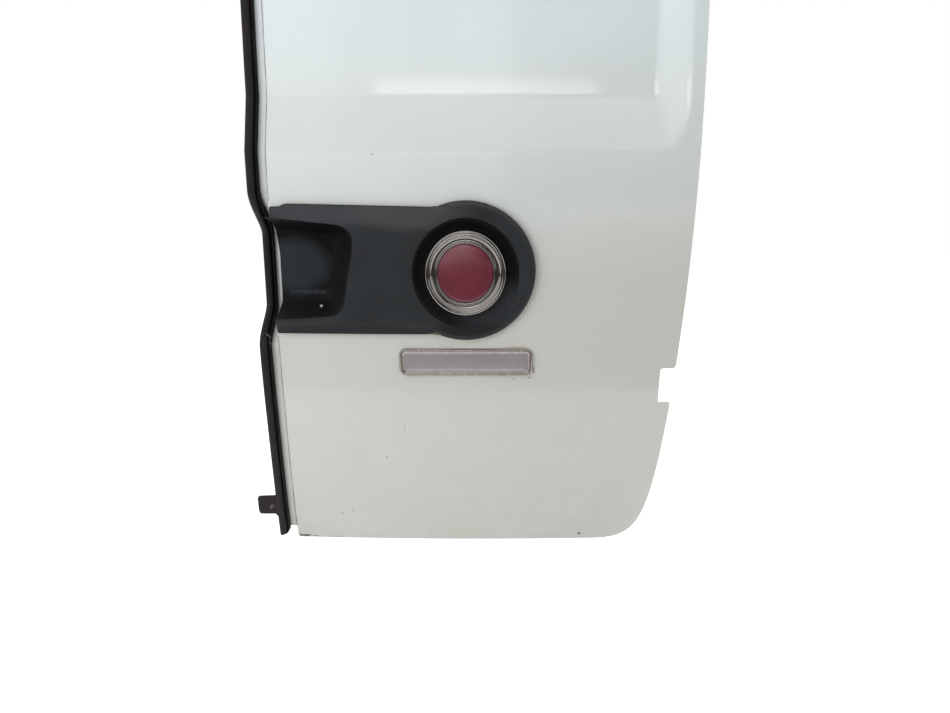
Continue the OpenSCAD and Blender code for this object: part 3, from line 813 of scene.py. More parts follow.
OUTER_MARKS = (
    Mark(27, 3.0, 13, 3.2, "#4B3A2A", 0.95, 0.7),
    Mark(48, 2.0, 9, 1.6, "#7A6B55", 0.7, 0.8),
    Mark(95, 2.0, 14, 1.5, "#6E6350", 0.5, 0.8),
    Mark(202.6, 764, 3.0, 2.2, "#7B746A", 0.6),
    Mark(206.7, 190, 2.4, 2.4, "#77716A", 0.7),
    Mark(131.7, 67, 2.6, 2.2, "#6F6A62", 0.7),
    Mark(110.6, 60, 2.2, 2.0, "#6F6A62", 0.6),
    Mark(594.6, 12.3, 3.4, 3.0, "#2A2522", 0.95),
    Mark(243.5, 249, 0.9, 11, "#8B8880", 0.6, 0.4),
    Mark(460, 417, 22, 2.2, "#948868", 0.5, 0.8),
    Mark(489.6, 373, 2.2, 7.5, "#5C4E3C", 0.6, 0.8),
    Mark(483, 357.5, 4.0, 2.4, "#6C5E48", 0.6, 0.8),
    Mark(452, 355, 3.4, 1.8, "#8C8069", 0.5, 0.8),
)


RUBBER_MARKS = (
    Mark(-6.0, 436, 5.5, 0.9, "#B8B2A8", 0.8, 0.5, 50),
    Mark(-2.5, 424, 5.0, 0.7, "#8F8A82", 0.5, 0.5, 55),
    Mark(-33, 77, 5.0, 3.4, "#6B6660", 0.55, 0.9, -12),
)

SEALER_MARKS = (Mark(12.7, 66, 6, 42, "#5E574C", 0.8, 0.8), Mark(12.7, 32, 6, 14, "#4C4238", 0.9, 0.7))

PLATE_PAINTED_LIGHT_AND_SCUFFS = (
    # Painted shade along the plate's lower edge and under its round end.
    Mark(150, 447, 205, 20, "#0E1012", 0.75, 0.1),
    Mark(372, 438, 112, 34, "#0E1012", 0.75, 0.1),
    # Painted highlight along the plate's upper band.
    Mark(262, 668, 120, 40, "#454240", 0.55, 0.02, 1),
    Mark(130, 672, 150, 34, "#3C3E42", 0.5, 0.02, 1),
    # Painted shadow line along the plate's upper edge.
    Mark(190, 678, 172, 3.0, "#0B0C0E", 0.9, 0.06, 1.2),
    # Brown scuffs.
    Mark(304, 445, 13, 2.4, "#6A604D", 0.7, 0.9),
    Mark(460, 468, 11, 2.6, "#6A604D", 0.6, 0.9, -45),
)

RECESS_PAINTED_LIGHT_AND_SPOT = (
    # Painted light on the scoop's floor.
    Mark(34, 561, 82, 62, "#2B2F33", 1.0, 0.06),
    # Painted highlight where the scoop's floor turns into its lower wall.
    Mark(62, 512, 46, 5, "#3A3E42", 0.5, 0.3),
    # A small white spot.
    Mark(88.8, 488.4, 3.0, 1.8, "#E4E2DC", 0.95, 0.5, 12),
    # Painted light on the lower right of the emblem's recess.
    Mark(402, 503, 72, 44, "#2A2C2F", 0.9, 0.02, -30),
)


class Workshop:
    """Builds each finish once and dresses pieces with it."""

    def __init__(self) -> None:
        """Builds the finishes."""
        # Both paints go from a darker foot colour to a bluish top colour, as painted shade and painted
        # reflection.
        outer = BodyPaint("aged_white_body_enamel", "#D2DADB", 0.36, "#C3C4BD", OUTER_MARKS, 0.2)
        self.outer = outer.build()
        self.inner = BodyPaint("inner_body_enamel", "#CDD1CF", 0.46, "#C9CAC4", (), 0.5).build()
        self.rubber = SpongeRubber("epdm_sponge_rubber", "#1E1B1B", 0.62, RUBBER_MARKS).build()
        plastic = MouldedPlastic
        seam = plastic("polyurethane_seam_sealer", "#8F918E", 0.55, 2.4, 0.05, 0.2, SEALER_MARKS)
        # The handle plate's finish, whose marks hold painted shade and highlights as well as scuffs.
        grained = plastic("grained_polypropylene", "#1E2124", 0.52, 1.5, 0.05, 0.16, PLATE_PAINTED_LIGHT_AND_SCUFFS)
        satin = plastic("satin_abs", "#1B1D20", 0.42, 2.4, 0.02, 0.2)
        # Painted shade: a near-black plastic for the scoop and the emblem's recess, with painted light in
        # its marks.
        recess_shade = plastic("abs_with_painted_shade", "#08090A", 0.6, 1.6, 0.04, 0.04, RECESS_PAINTED_LIGHT_AND_SPOT, "#0F1013", 0.14)
        self.sealer, self.grained, self.satin, self.recess_shade = (p.build() for p in (seam, grained, satin, recess_shade))
        self.chrome = ChromePlate("weathered_chromium_plate", "#8F8C8A", 0.08).build()
        self.dulled = ChromePlate("dulled_chromium_plate", "#A19A96", 0.24, 0.002).build()
        self.enamel = LacqueredFace("dark_red_lacquer", "#5F1828", 0.34, "#742638", coat=0.2).build()
        foil = LacqueredFace("brushed_badge_foil", "#9C989A", 0.34, "#8D898B", 0.3, 0.06, 0.1)
        self.badge = foil.build()
        self.zinc = ZincPlate("zinc_plated_steel", "#A3A5A6", 0.3).build()
        self.board = TrimVinyl("embossed_grey_vinyl", "#6C6E70", 0.6).build()

    def wear(self, piece: Mesh, finish: Material) -> None:
        """Gives every face of a piece one finish."""
        piece.data.materials.clear()
        piece.data.materials.append(finish)

    def fit(self, piece: Mesh, sharp: float, finish: Material, slot: Slot, *nodes: str) -> None:
        """Smooths and dresses a new piece, hangs it on the leaf and hides the nodes that it replaces.

        Args:
            piece: The finished mesh.
            sharp: Least angle of an edge that stays sharp, in degrees.
            finish: Its material.
            slot: Not used.
            nodes: CAD nodes that it replaces.
        """
        hold(piece)
        bpy.ops.object.shade_smooth_by_angle(angle=math.radians(sharp))
        self.wear(piece, finish)
        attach(piece, "root")
        if nodes:
            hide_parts(*nodes)
        LOG.info("%s: %d faces", piece.name, len(piece.data.polygons))

    def soften(
        self, name: str, source: str, finish: Material, slot: Slot, width: float, steps: int = 3
    ) -> None:
        """Makes a piece from its CAD node, with its edges rounded.

        Args:
            name: The piece's name.
            source: The node.
            finish: Its material.
            slot: The record's slot.
            width: Width of the rounding in millimetres.
            steps: Faces across the rounding.
        """
        piece = copied(name, source)
        rounded_off(piece, width, 34, steps)
        self.fit(piece, 32, finish, slot, source)

    def dress(self, finish: Material, *names: str) -> None:
        """Gives CAD nodes a finish.

        Args:
            finish: The material.
            names: The nodes' names.
        """
        for name in names:
            self.wear(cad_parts[name], finish)
            LOG.info("%s: dressed", name)


# Sub-assemblies


@dataclass
class OuterShell:
    """The pressed outer skin with its raised rim, folds and openings."""

    shop: Workshop
    columns: tuple[int, int, int, int] = (8, 34, 22, 8)
    rounding: float = 4.0
    left_column: float = 60.0
    head_fall: float = 10.0
    falls_from: float = 1600.0
    cutter: Pair = (-60.0, 200.0)

    def heights(self) -> Points:
        """Rows of the sheet, close together where it folds."""
        low = 330 * (np.arange(40) / 40) ** 2.2
        stretches = ((330, 736, 14.0), (738, 782, 1.1), (786, 848, 8.0), (850, 878, 1.1), (884, 1745, 19.0))
        arc = FORM.height - FORM.corner + FORM.corner * np.sin(np.linspace(0, math.pi / 2, 46))
        return np.concatenate([low, *(np.arange(*stretch) for stretch in stretches), arc])

    def skin(self) -> None:
        """The skin, laid over its form, thickened and cut out."""
        z, r = self.heights(), self.rounding
        past = np.maximum(0, np.maximum(r - z, z - FORM.height + r))
        left = FORM.strip + r - np.sqrt(np.maximum(0, r**2 - past**2))
        side = FORM.side(z)
        outer = np.minimum(FORM.rim_line(z) + FORM.rim_slope + 12, side - 6)
        inner = outer - FORM.rim_slope - 24
        stops = [left, np.full_like(z, self.left_column), inner, outer, side]
        spans = []
        for i, count in enumerate(self.columns):
            t = np.arange(count + (i == 3)) / count
            spans.append(stops[i][:, None] * (1 - t) + stops[i + 1][:, None] * t)
        x = np.concatenate(spans, axis=1)
        lift = np.clip((z - self.falls_from) / (FORM.height - self.falls_from), 0, 1)[:, None]
        height = z[:, None] - self.head_fall * (x / FORM.width) ** 2 * lift
        points = np.stack([x, FORM.face(x, height), height], axis=2)
        piece = lofted("skin_panel", points, facing=OUTWARDS)
        applied(piece, "SOLIDIFY", thickness=FORM.sheet / MM, offset=-1.0, use_even_offset=True)
        cut(piece, self.notch(FORM.seat_z), self.notch(FORM.seat_top_z), self.scoop_hole())
        self.shop.fit(piece, 30, self.shop.outer, Slot.PAINT, "outer_skin", "upper_rim")

    def notch(self, z: float) -> Mesh:
        """A cutter for one hinge notch, with rounded corners inside and where it meets the side."""
        x, low, high = FORM.seat_x, z - FORM.notch / 2, z + FORM.notch / 2
        turns = [math.pi / 2 * i / 6 for i in range(7)]
        foot, head = FORM.side(np.array([low, high])).tolist()
        out = [(foot - 5 + 5 * math.sin(a), low - 5 + 5 * math.cos(a)) for a in turns]
        out += [(FORM.width + 60, low - 6), (FORM.width + 60, high + 9)]
        out += [(head + 0.6 - 8 + 8 * math.cos(a), high + 8 - 8 * math.sin(a)) for a in turns]
        out += [(x + 5 - 5 * math.sin(a), high - 5 + 5 * math.cos(a)) for a in turns]
        out += [(x + 4 - 4 * math.cos(a), low + 4 - 4 * math.sin(a)) for a in turns]
        return plate("notch_cutter", out, *self.cutter)

    def scoop_hole(self) -> Mesh:
        """A cutter for the opening behind the handle plate."""
        return plate("scoop_cutter", HandScoop(self.shop).outline(-30, 1.0), *self.cutter)

    def build(self) -> None:
        """Makes the skin and dresses the steel nodes behind it."""
        self.skin()
        self.shop.dress(self.shop.outer, "free_edge_flange", "free_edge_return")
        steel = ("hem", "upper_hem", "side_frame", "pillar_frame", "scoop_pressing")
        self.shop.dress(self.shop.inner, *steel)


@dataclass
class EdgeSeal:
    """The two lobed sponge seal on the free edge, with its tab."""

    shop: Workshop
    width: float = 22.0
    proud: float = 15.0
    foot: float = 9.6
    head: float = 1846.4
    heart: float = 5.0
    squareness: float = 0.78
    bead_x: float = 12.7

    def ring(self) -> Points:
        """The seal's section: distance across and height out of the flange."""

        def squared(v: float) -> float:
            """A sine or cosine pushed outwards, so that the lobe is squarer than a circle."""
            return math.copysign(abs(v) ** self.squareness, v)

        bulb, lip = ([math.radians(a) for a in range(*turn, -14)] for turn in ((218, -24), (158, -60)))
        out = [(-14.4 + 7.6 * squared(math.cos(a)), 5.5 + 7.5 * squared(math.sin(a))) for a in bulb]
        out.append((-7.0, 1.6))
        out += [(-3.5 + 3.5 * math.cos(a), 2.6 + 4.4 * math.sin(a)) for a in lip]
        out += [(-9, -1.7), (-14, -1.7)]
        return np.array(out)

    def rows(self) -> Points:
        """Heights of the seal's sections, close together at its ends and bends."""
        foot = [self.foot, 9.8, 10.4, 11.4, 13, 15, 17.5, 20, 23, 27]
        head = [1832, 1838, 1842, 1844.6, 1846, self.head]
        stretches = ((33, 405, 6.0), (405, 715, 2.6), (718, 880, 3.0), (884, 1825, 9.0))
        return np.concatenate([foot, *(np.arange(*stretch) for stretch in stretches), head])

    def strip(self) -> None:
        """The seal, run along the free edge and rounded at its ends."""
        ring, z = self.ring(), self.rows()
        slope = (FORM.edge(z + 2) - FORM.edge(z - 2)) / 4
        k = np.sqrt(1 + slope**2)
        foot = np.clip((z - self.foot) / 4, 0, 1)
        head = np.clip((self.head - z) / 8, 0, 1)
        size = np.clip(np.sqrt(1 - (1 - np.minimum(foot, head)) ** 2), 0.02, 1)
        right = -8 * np.clip((23.6 - z) / 14, 0, 1)
        wave = 0.3 * np.sin(z / 97 + 1) + 0.15 * np.sin(z / 41 + 2)
        centre, rows = self.width / 2, []
        for i in range(len(z)):
            half = (right[i] + self.width) / 2
            wide = half / centre * (0.78 + 0.22 * size[i])
            x = -self.width + half + (ring[:, 0] + centre) * wide + wave[i]
            out = self.heart + (ring[:, 1] - self.heart) * size[i]
            y = FORM.edge(z[i : i + 1])[0] - out / k[i]
            rows.append(np.stack([x, y, z[i] + out * slope[i] / k[i]], axis=1))
        piece = lofted("edge_seal", np.array(rows), ring=True)
        closed(piece)
        self.shop.fit(piece, 60, self.shop.rubber, Slot.SEAL, "seal_bulb", "seal_lip")

    def tab(self) -> None:
        """The moulded tab near the foot, filleted into the seal."""
        w = -self.width
        out = [(w + 5, 56), (w - 0.6, 57), (w - 1.6, 59.6), (w - 4.4, 61)]
        out += [(w - 31, 61), (w - 33.6, 62), (w - 35.4, 64.5), (w - 36.4, 68)]
        out += [(w - 37.2, 80), (w - 37.4, 95.5), (w - 36.6, 97.6), (w - 34.6, 98.4)]
        out += [(w - 4.4, 99.4), (w - 1.6, 100.8), (w - 0.6, 103.4), (w + 5, 104.6)]
        y = float(FORM.edge(np.array([78.1]))[0]) - self.proud / 2 + 2
        piece = plate("seal_tab", out, y - 4, y + 4)
        rounded_off(piece, 1.6)
        self.shop.fit(piece, 35, self.shop.rubber, Slot.SEAL, "seal_lug")

    def sealer(self) -> None:
        """The thin bead of sealer where the skin is hemmed over the free edge's flange."""
        lengths = []
        turns = [2 * math.pi * i / 8 for i in range(8)]
        for foot, head in ((27.0, 438.0), (684.0, 1846.0)):
            rows = []
            for h in np.arange(foot, head, 5.0):
                y = FORM.depth(14.0, h) + 0.9
                wide = 0.85 + 0.18 * math.sin(h / 13) + 0.12 * math.sin(h / 5.3)
                rows.append([(self.bead_x + wide * math.cos(a), y + 1.3 * math.sin(a), h) for a in turns])
            lengths.append(lofted("length", np.array(rows), ring=True))
            closed(lengths[-1])
        self.shop.fit(joined("hem_sealer", lengths), 60, self.shop.sealer, Slot.SEAL)

    def build(self) -> None:
        """Makes the seal, its tab and the bead beside it."""
        self.strip()
        self.tab()
        self.sealer()


@dataclass
class HandScoop:
    """The dish behind the handle plate, open to the free edge."""

    shop: Workshop
    height: float = 181.0
    width: float = 142.0
    middle: float = 564.5
    left: float = 12.0
    floor: float = 86.0
    pull: float = 2.2
    flare: float = 1.0
    upper_flare: float = 5.5
    flared: float = 45.0
    wall: float = 2.4
    curve: tuple[Pair, ...] = (
        (0.0, 91.6), (0.35, 87.2), (0.62, 83.3), (0.92, 79.0), (1.01, 75.6), (1.077, 70.0),
        (1.124, 61.4), (1.142, 49.0), (1.12, 22.4), (1.075, -8.0), (1.032, -42.0), (1.0, -62.0),
        (0.965, -74.0), (0.9, -82.5), (0.8, -86.9), (0.35, -91.8), (0.0, -94.8),
    )
    drawn: tuple[float, ...] = (
        0, 0.008, 0.018, 0.03, 0.045, 0.065, 0.09, 0.12, 0.15,
        0.19, 0.23, 0.28, 0.34, 0.41, 0.5, 0.62, 0.78, 0.999,
    )

    def line(self, left: float, steps: int = 6) -> Points:
        """The scoop's outline, from its upper to its lower left end.

        Args:
            left: Distance at which it starts and ends.
            steps: Points between two of the curve's own.

        Returns:
            Distances and heights.
        """
        knots = np.array([(self.width * a, self.middle + b) for a, b in self.curve])
        knots[0, 0] = knots[-1, 0] = left
        padded = np.concatenate([knots[:1] * 2 - knots[1:2], knots, knots[-1:] * 2 - knots[-2:-1]])
        out = []
        for i in range(1, len(padded) - 2):
            a, b, c, d = padded[i - 1 : i + 3]
            square, cube = 2 * a - 5 * b + 4 * c - d, 3 * b - a - 3 * c + d
            for t in np.arange(steps) / steps:
                out.append(0.5 * (2 * b + (c - a) * t + square * t**2 + cube * t**3))
        out.append(knots[-1])
        return np.array(out)

    def outline(self, left: float, grow: float = 0.0) -> Pairs:
        """The outline grown about its middle, as corners of a cutter."""
        k = 1 + grow / (self.height / 2)
        x, z = self.line(left, 4).T
        grown = np.stack([x + grow * (x > 60), self.middle + (z - self.middle) * k], axis=1)
        return [tuple(corner) for corner in grown.tolist()]

    def dish(self) -> None:
        """The dish itself: a rolled lip, steep walls and a broad floor."""
        across, up = self.line(self.left, 7).T
        top = FORM.face(across, up) - HandlePlate(self.shop).height_at(across, up)
        near = np.clip(1 - (across - self.left) / self.flared, 0, 1)
        rows = []
        for t in self.drawn:
            z = self.middle + (up - self.middle) * (1 - t)
            flare = near * (self.flare + self.upper_flare * np.clip((z - 585) / 50, 0, 1))
            start = self.left - self.pull * min(1.0, t / 0.4) - flare
            x = start + (across - self.left) * (1 - t * 0.999)
            fall = 1 - max(0.0, 1 - t / 0.46) ** 3.0
            y = top + (self.floor - top) * (fall * eased(min(1.0, t / 0.03)))
            rows.append(np.stack([x, y, z], axis=1))
        piece = lofted("grip_dish", np.array(rows), facing=OUTWARDS)
        applied(piece, "SOLIDIFY", thickness=self.wall / MM, offset=-1.0)
        # The dish's near-black plastic is painted shade.
        self.shop.fit(piece, 50, self.shop.recess_shade, Slot.SATIN, "grip_cup")


@dataclass
class HandlePlate:
    """The black plate round the scoop and the emblem."""

    shop: Workshop
    middle: float = 564.5
    foot: float = 444.0
    head: float = 679.9
    fall: float = 0.0214
    round_x: float = 363.0
    round_z: float = 559.5
    round_r: float = 126.0
    proud: float = 14.0
    edge: float = 8.6
    slope_top: float = 36.0
    slope_foot: float = 23.0
    round_slope: float = 7.0
    hole_r: float = 96.0
    seat_tall: float = 1.025
    ring_tall: float = 1.055

    @property
    def seat_height(self) -> float:
        """Height of the emblem's middle."""
        return self.round_z - 1.7

    def top(self, x: Points) -> Points:
        """Height of the plate's upper edge, which falls towards the round end."""
        return self.head - self.fall * (x - 45)

    def height_at(self, x: Points, z: Points) -> Points:
        """How far the plate stands off the skin.

        Args:
            x: Distances from the seal.
            z: Heights.

        Returns:
            Heights over the skin.
        """

        def rising(t: Points) -> Points:
            """A slope that bends softly into the level crown."""
            t = np.clip(t, 0, 1.25)
            return np.where(t < 0.8, t, np.where(t < 1.2, 1 - (1.2 - t) ** 2 * 1.25, 1.0))

        upper, lower = (self.top(x) - z) / self.slope_top, (z - self.foot) / self.slope_foot
        straight = np.minimum(rising(upper), rising(lower))
        inside = self.round_r - np.hypot(x - self.round_x, z - self.round_z)
        ring = rising(inside / self.round_slope) - 0.12 * np.clip((inside - self.round_slope) / 20, 0, 1)
        w = eased(np.clip((x - 285) / 48, 0, 1))
        return self.edge + (self.proud - self.edge) * (straight * (1 - w) + ring * w)

    def outline(self) -> Pairs:
        """The plate's front view, with its narrowed left end and soft necks."""
        foot, r = self.foot, self.round_r
        low = self.round_x - math.sqrt(r**2 - (self.round_z - foot) ** 2)
        high = self.round_x - math.sqrt(r**2 - (self.top(310.0) - self.round_z) ** 2)
        top = self.top(high)
        out = [(14.2, foot + 3.4), (15.0, foot + 1.0), (17.4, foot)]
        out += [(low - 16, foot), (low - 9, foot - 0.2), (low - 3, foot - 1.2)]
        start = math.atan2(foot - self.round_z - 1.8, low + 1.5 - self.round_x)
        end = math.atan2(top - self.round_z + 1.8, high + 1.5 - self.round_x)
        start = start if start < 0 else start - 2 * math.pi
        for i in range(81):
            a = start + (end - start) * i / 80
            out.append((self.round_x + r * math.cos(a), self.round_z + r * math.sin(a)))
        out += [(high - 3, top + 1.2), (high - 9, top + 0.3), (high - 16, self.top(high - 16))]
        tongue = ((46, 0), (40, 1.4), (32, 5.0), (17.2, 5.4), (15.4, 7), (15.0, 30))
        out += [(x, self.head - down) for x, down in tongue]
        return [*out, (13.8, foot + 30)]

    def face_plate(self) -> None:
        """The plate: a crowned slab cut to its outline, rounded, then pierced."""
        x = np.arange(4.0, 500.0, 4.0)
        z = np.arange(self.middle - 134, self.middle + 134, 3.0)
        gx, gz = np.meshgrid(x, z)
        skin = FORM.face(gx, gz)
        crown = np.stack([gx, skin - self.height_at(gx, gz), gz], axis=2)
        piece = lofted("handle_plate", crown, facing=OUTWARDS)
        under = lofted("under", np.stack([gx, skin - 0.4, gz], axis=2), facing=INWARDS)
        piece = joined("handle_plate", [piece, under])
        closed(piece, bridged=True)
        cut(piece, plate("outline_cutter", self.outline(), -60, 60), how="INTERSECT")
        rounded_off(piece, 2.6, 50, 4)
        scoop = HandScoop(self.shop)
        cut(piece, plate("scoop_cutter", scoop.outline(-20, 0.15), -60, 120))
        cut(piece, self.bore())
        self.shop.fit(piece, 32, self.shop.grained, Slot.GRAINED, "handle_trim")

    def plane(self) -> Turning:
        """The plane of the skin at the emblem's middle."""
        x, z = self.round_x, self.seat_height
        up = -(FORM.crease - z) / FORM.tuck_radius
        n = math.hypot(1, up)
        return Turning((x, FORM.depth(x, z), z), (1, 0, 0), (0, up / n, 1 / n), (0, -1 / n, up / n))

    def bore(self) -> Mesh:
        """A cutter for the emblem's hole."""
        profile = [(0.01, -30), (self.hole_r, -30), (self.hole_r, 60), (0.01, 60)]
        return turned("bore", profile, self.plane(), 120, self.seat_tall)

    def emblem(self) -> None:
        """The recess, the chromed ring and the plain domed disc."""
        base = self.plane()
        lip = self.proud - 0.7
        dish = [
            (68, 3.4), (77, 3.4), (81.5, 4.0), (86, 5.6), (89.6, 8.6), (92.2, lip - 1.0),
            (93.9, lip - 0.15), (95.2, lip + 0.15), (96.2, lip - 0.2), (96.2, 1.0), (68, 1.0), (68, 3.4),
        ]
        piece = turned("emblem_dish", dish, base, 120, self.seat_tall)
        # The recess's near-black plastic is painted shade.
        self.shop.fit(piece, 40, self.shop.recess_shade, Slot.GRAINED, "emblem_seat")
        ring = [
            (50.4, 3.8), (72.2, 3.8), (73.2, 6.5), (73.6, 10.5), (73.2, 13.2), (72.3, 15), (71.0, 16.2),
            (69.4, 16.8), (67.8, 16.5), (66.8, 15.7), (66.1, 15.4), (65.3, 15.8), (64.4, 16.1),
            (63.4, 15.6), (62.4, 14.4), (60.2, 12.9), (57.8, 12.1), (55.8, 12.2), (54.6, 12.9),
            (53.9, 14.3), (53.1, 15.2), (52.1, 15.4), (51.1, 14.8), (50.5, 13.2), (50.4, 3.8),
        ]
        piece = turned("emblem_ring", ring, base, 144, self.ring_tall)
        self.shop.fit(piece, 45, self.shop.chrome, Slot.CHROME, "emblem_bezel")
        dome = [
            (0.01, 3.8), (50.2, 3.8), (50.2, 12.4), (49.4, 13.1), (46, 13.9), (40, 14.9),
            (33, 15.8), (25, 16.5), (16, 17.0), (8, 17.25), (0.01, 17.3),
        ]
        piece = turned("emblem_dome", dome, base, 120, self.ring_tall)
        self.shop.fit(piece, 50, self.shop.enamel, Slot.ENAMEL, "emblem_disc")

    def build(self) -> None:
        """Makes the plate, its dish and the emblem."""
        self.face_plate()
        HandScoop(self.shop).dish()
        self.emblem()


@dataclass
class Badge:
    """The long badge under the emblem: a chromed frame round a plain foil face."""

    shop: Workshop
    x: float = 363.0
    z: float = 388.0
    width: float = 250.0
    height: float = 54.0
    corner: float = 14.0

    def ring(self, inset: float, lift: float, steps: int = 10) -> Points:
        """One rounded rectangle, laid over the skin.

        Args:
            inset: Distance inside the badge's outline.
            lift: Height over the skin.
            steps: Steps to each corner.

        Returns:
            Points in leaf millimetres.
        """
        wide, high = self.width - 2 * inset, self.height - 2 * inset
        corners = np.array(round_rect(wide, high, max(1.2, self.corner - inset), steps))
        x, z = corners[:, 0] + self.x, corners[:, 1] + self.z
        return np.stack([x, FORM.face(x, z) - lift, z], axis=1)

    def build(self) -> None:
        """Makes the frame and the face."""
        rim = [
            (0.3, 0.1), (0.0, 1.6), (0.4, 3.2), (1.4, 4.7), (2.9, 5.6), (4.6, 5.8),
            (6.2, 5.3), (7.4, 4.5), (8.4, 3.9), (9.3, 3.4), (9.4, 0.4), (0.3, 0.1),
        ]
        foil = [(9.0, 0.3), (9.0, 3.0), (9.8, 3.3), (11, 3.5), (14, 3.8), (19, 4.0), (24, 4.1), (26.6, 4.1)]
        piece = lofted("badge_rim", np.array([self.ring(*at) for at in rim]), ring=True)
        self.shop.fit(piece, 50, self.shop.dulled, Slot.CHROME, "badge_frame")
        piece = lofted("badge_foil", np.array([self.ring(*at) for at in foil]), ring=True)
        closed(piece)
        self.shop.fit(piece, 40, self.shop.badge, Slot.BADGE, "badge_plate")


@dataclass
class HingeSeats:
    """The bare seats in the hinge side's notches."""

    shop: Workshop
    edge: float = 0.45

    def build(self) -> None:
        """Makes the seats and dresses the nut plates behind them."""
        for place in ("lower", "upper"):
            pad = f"hinge_seat_{place}_pad"
            self.shop.soften(f"seat_pad_{place}", pad, self.shop.outer, Slot.PAINT, self.edge, 2)
        self.shop.dress(self.shop.zinc, "nut_plate_lower", "nut_plate_upper")


@dataclass
class LatchGear:
    """The latch case with its claw, the shoot bolts and the rods between them."""

    shop: Workshop
    x: float = 219.9
    z: float = 905.0
    bolt_x: float = 65.0
    case: Triple = (120.0, 24.0, 90.0)
    back: float = 108.2

    def cover(self) -> None:
        """The latch's pressed case, with two raised swages."""
        piece = copied("latch_cover", "latch_case")
        rounded_off(piece, 2.4, 34, 4)
        y = self.back + self.case[1]
        ribs = [piece]
        for shift in (-14.0, 14.0):
            outline = [(self.x + 22 + a, self.z + shift + b) for a, b in round_rect(56, 9, 4.4, 5)]
            rib = plate("rib", outline, y - 0.6, y + 1.9)
            rounded_off(rib, 1.3)
            ribs.append(rib)
        self.shop.fit(joined("latch_cover", ribs), 34, self.shop.zinc, Slot.ZINC, "latch_case")

    def claw(self) -> None:
        """The rotary claw: a cam with a jaw that closes round the striker."""
        x, z = self.x - self.case[0] * 0.37, self.z
        outline = []
        for i in range(33):
            a = math.radians(208 + 304 * i / 32)
            r = 8.5 - 1.2 * max(0.0, math.cos(a - 1.9))
            outline.append((x + r * math.cos(a), z + r * math.sin(a)))
        jaw = ((-1.0, 2.9), (1.4, 1.6), (2.2, 0), (1.4, -1.6), (-1.0, -2.9))
        outline += [(x + a, z + b) for a, b in jaw]
        y = self.back + self.case[1] * 0.495
        piece = plate("claw_cam", outline, y - 4.3, y + 4.3)
        rounded_off(piece, 0.5, 30, 2)
        self.shop.fit(piece, 34, self.shop.zinc, Slot.ZINC, "latch_claw")

    def build(self) -> None:
        """Makes the cover, the claw and the bolts' cases, and dresses the rods."""
        shop = self.shop
        self.cover()
        self.claw()
        for place in ("lower", "upper"):
            shop.soften(f"bolt_housing_{place}", f"{place}_bolt_case", shop.zinc, Slot.ZINC, 1.8)
        shop.soften("rod_clips", "rod_guides", shop.satin, Slot.SATIN, 0.8, 2)
        shop.soften("check_strap_bracket", "check_bracket", shop.zinc, Slot.ZINC, 0.7, 2)
        shop.dress(shop.zinc, "upper_bolt", "lower_bolt", "upper_rod", "lower_rod")


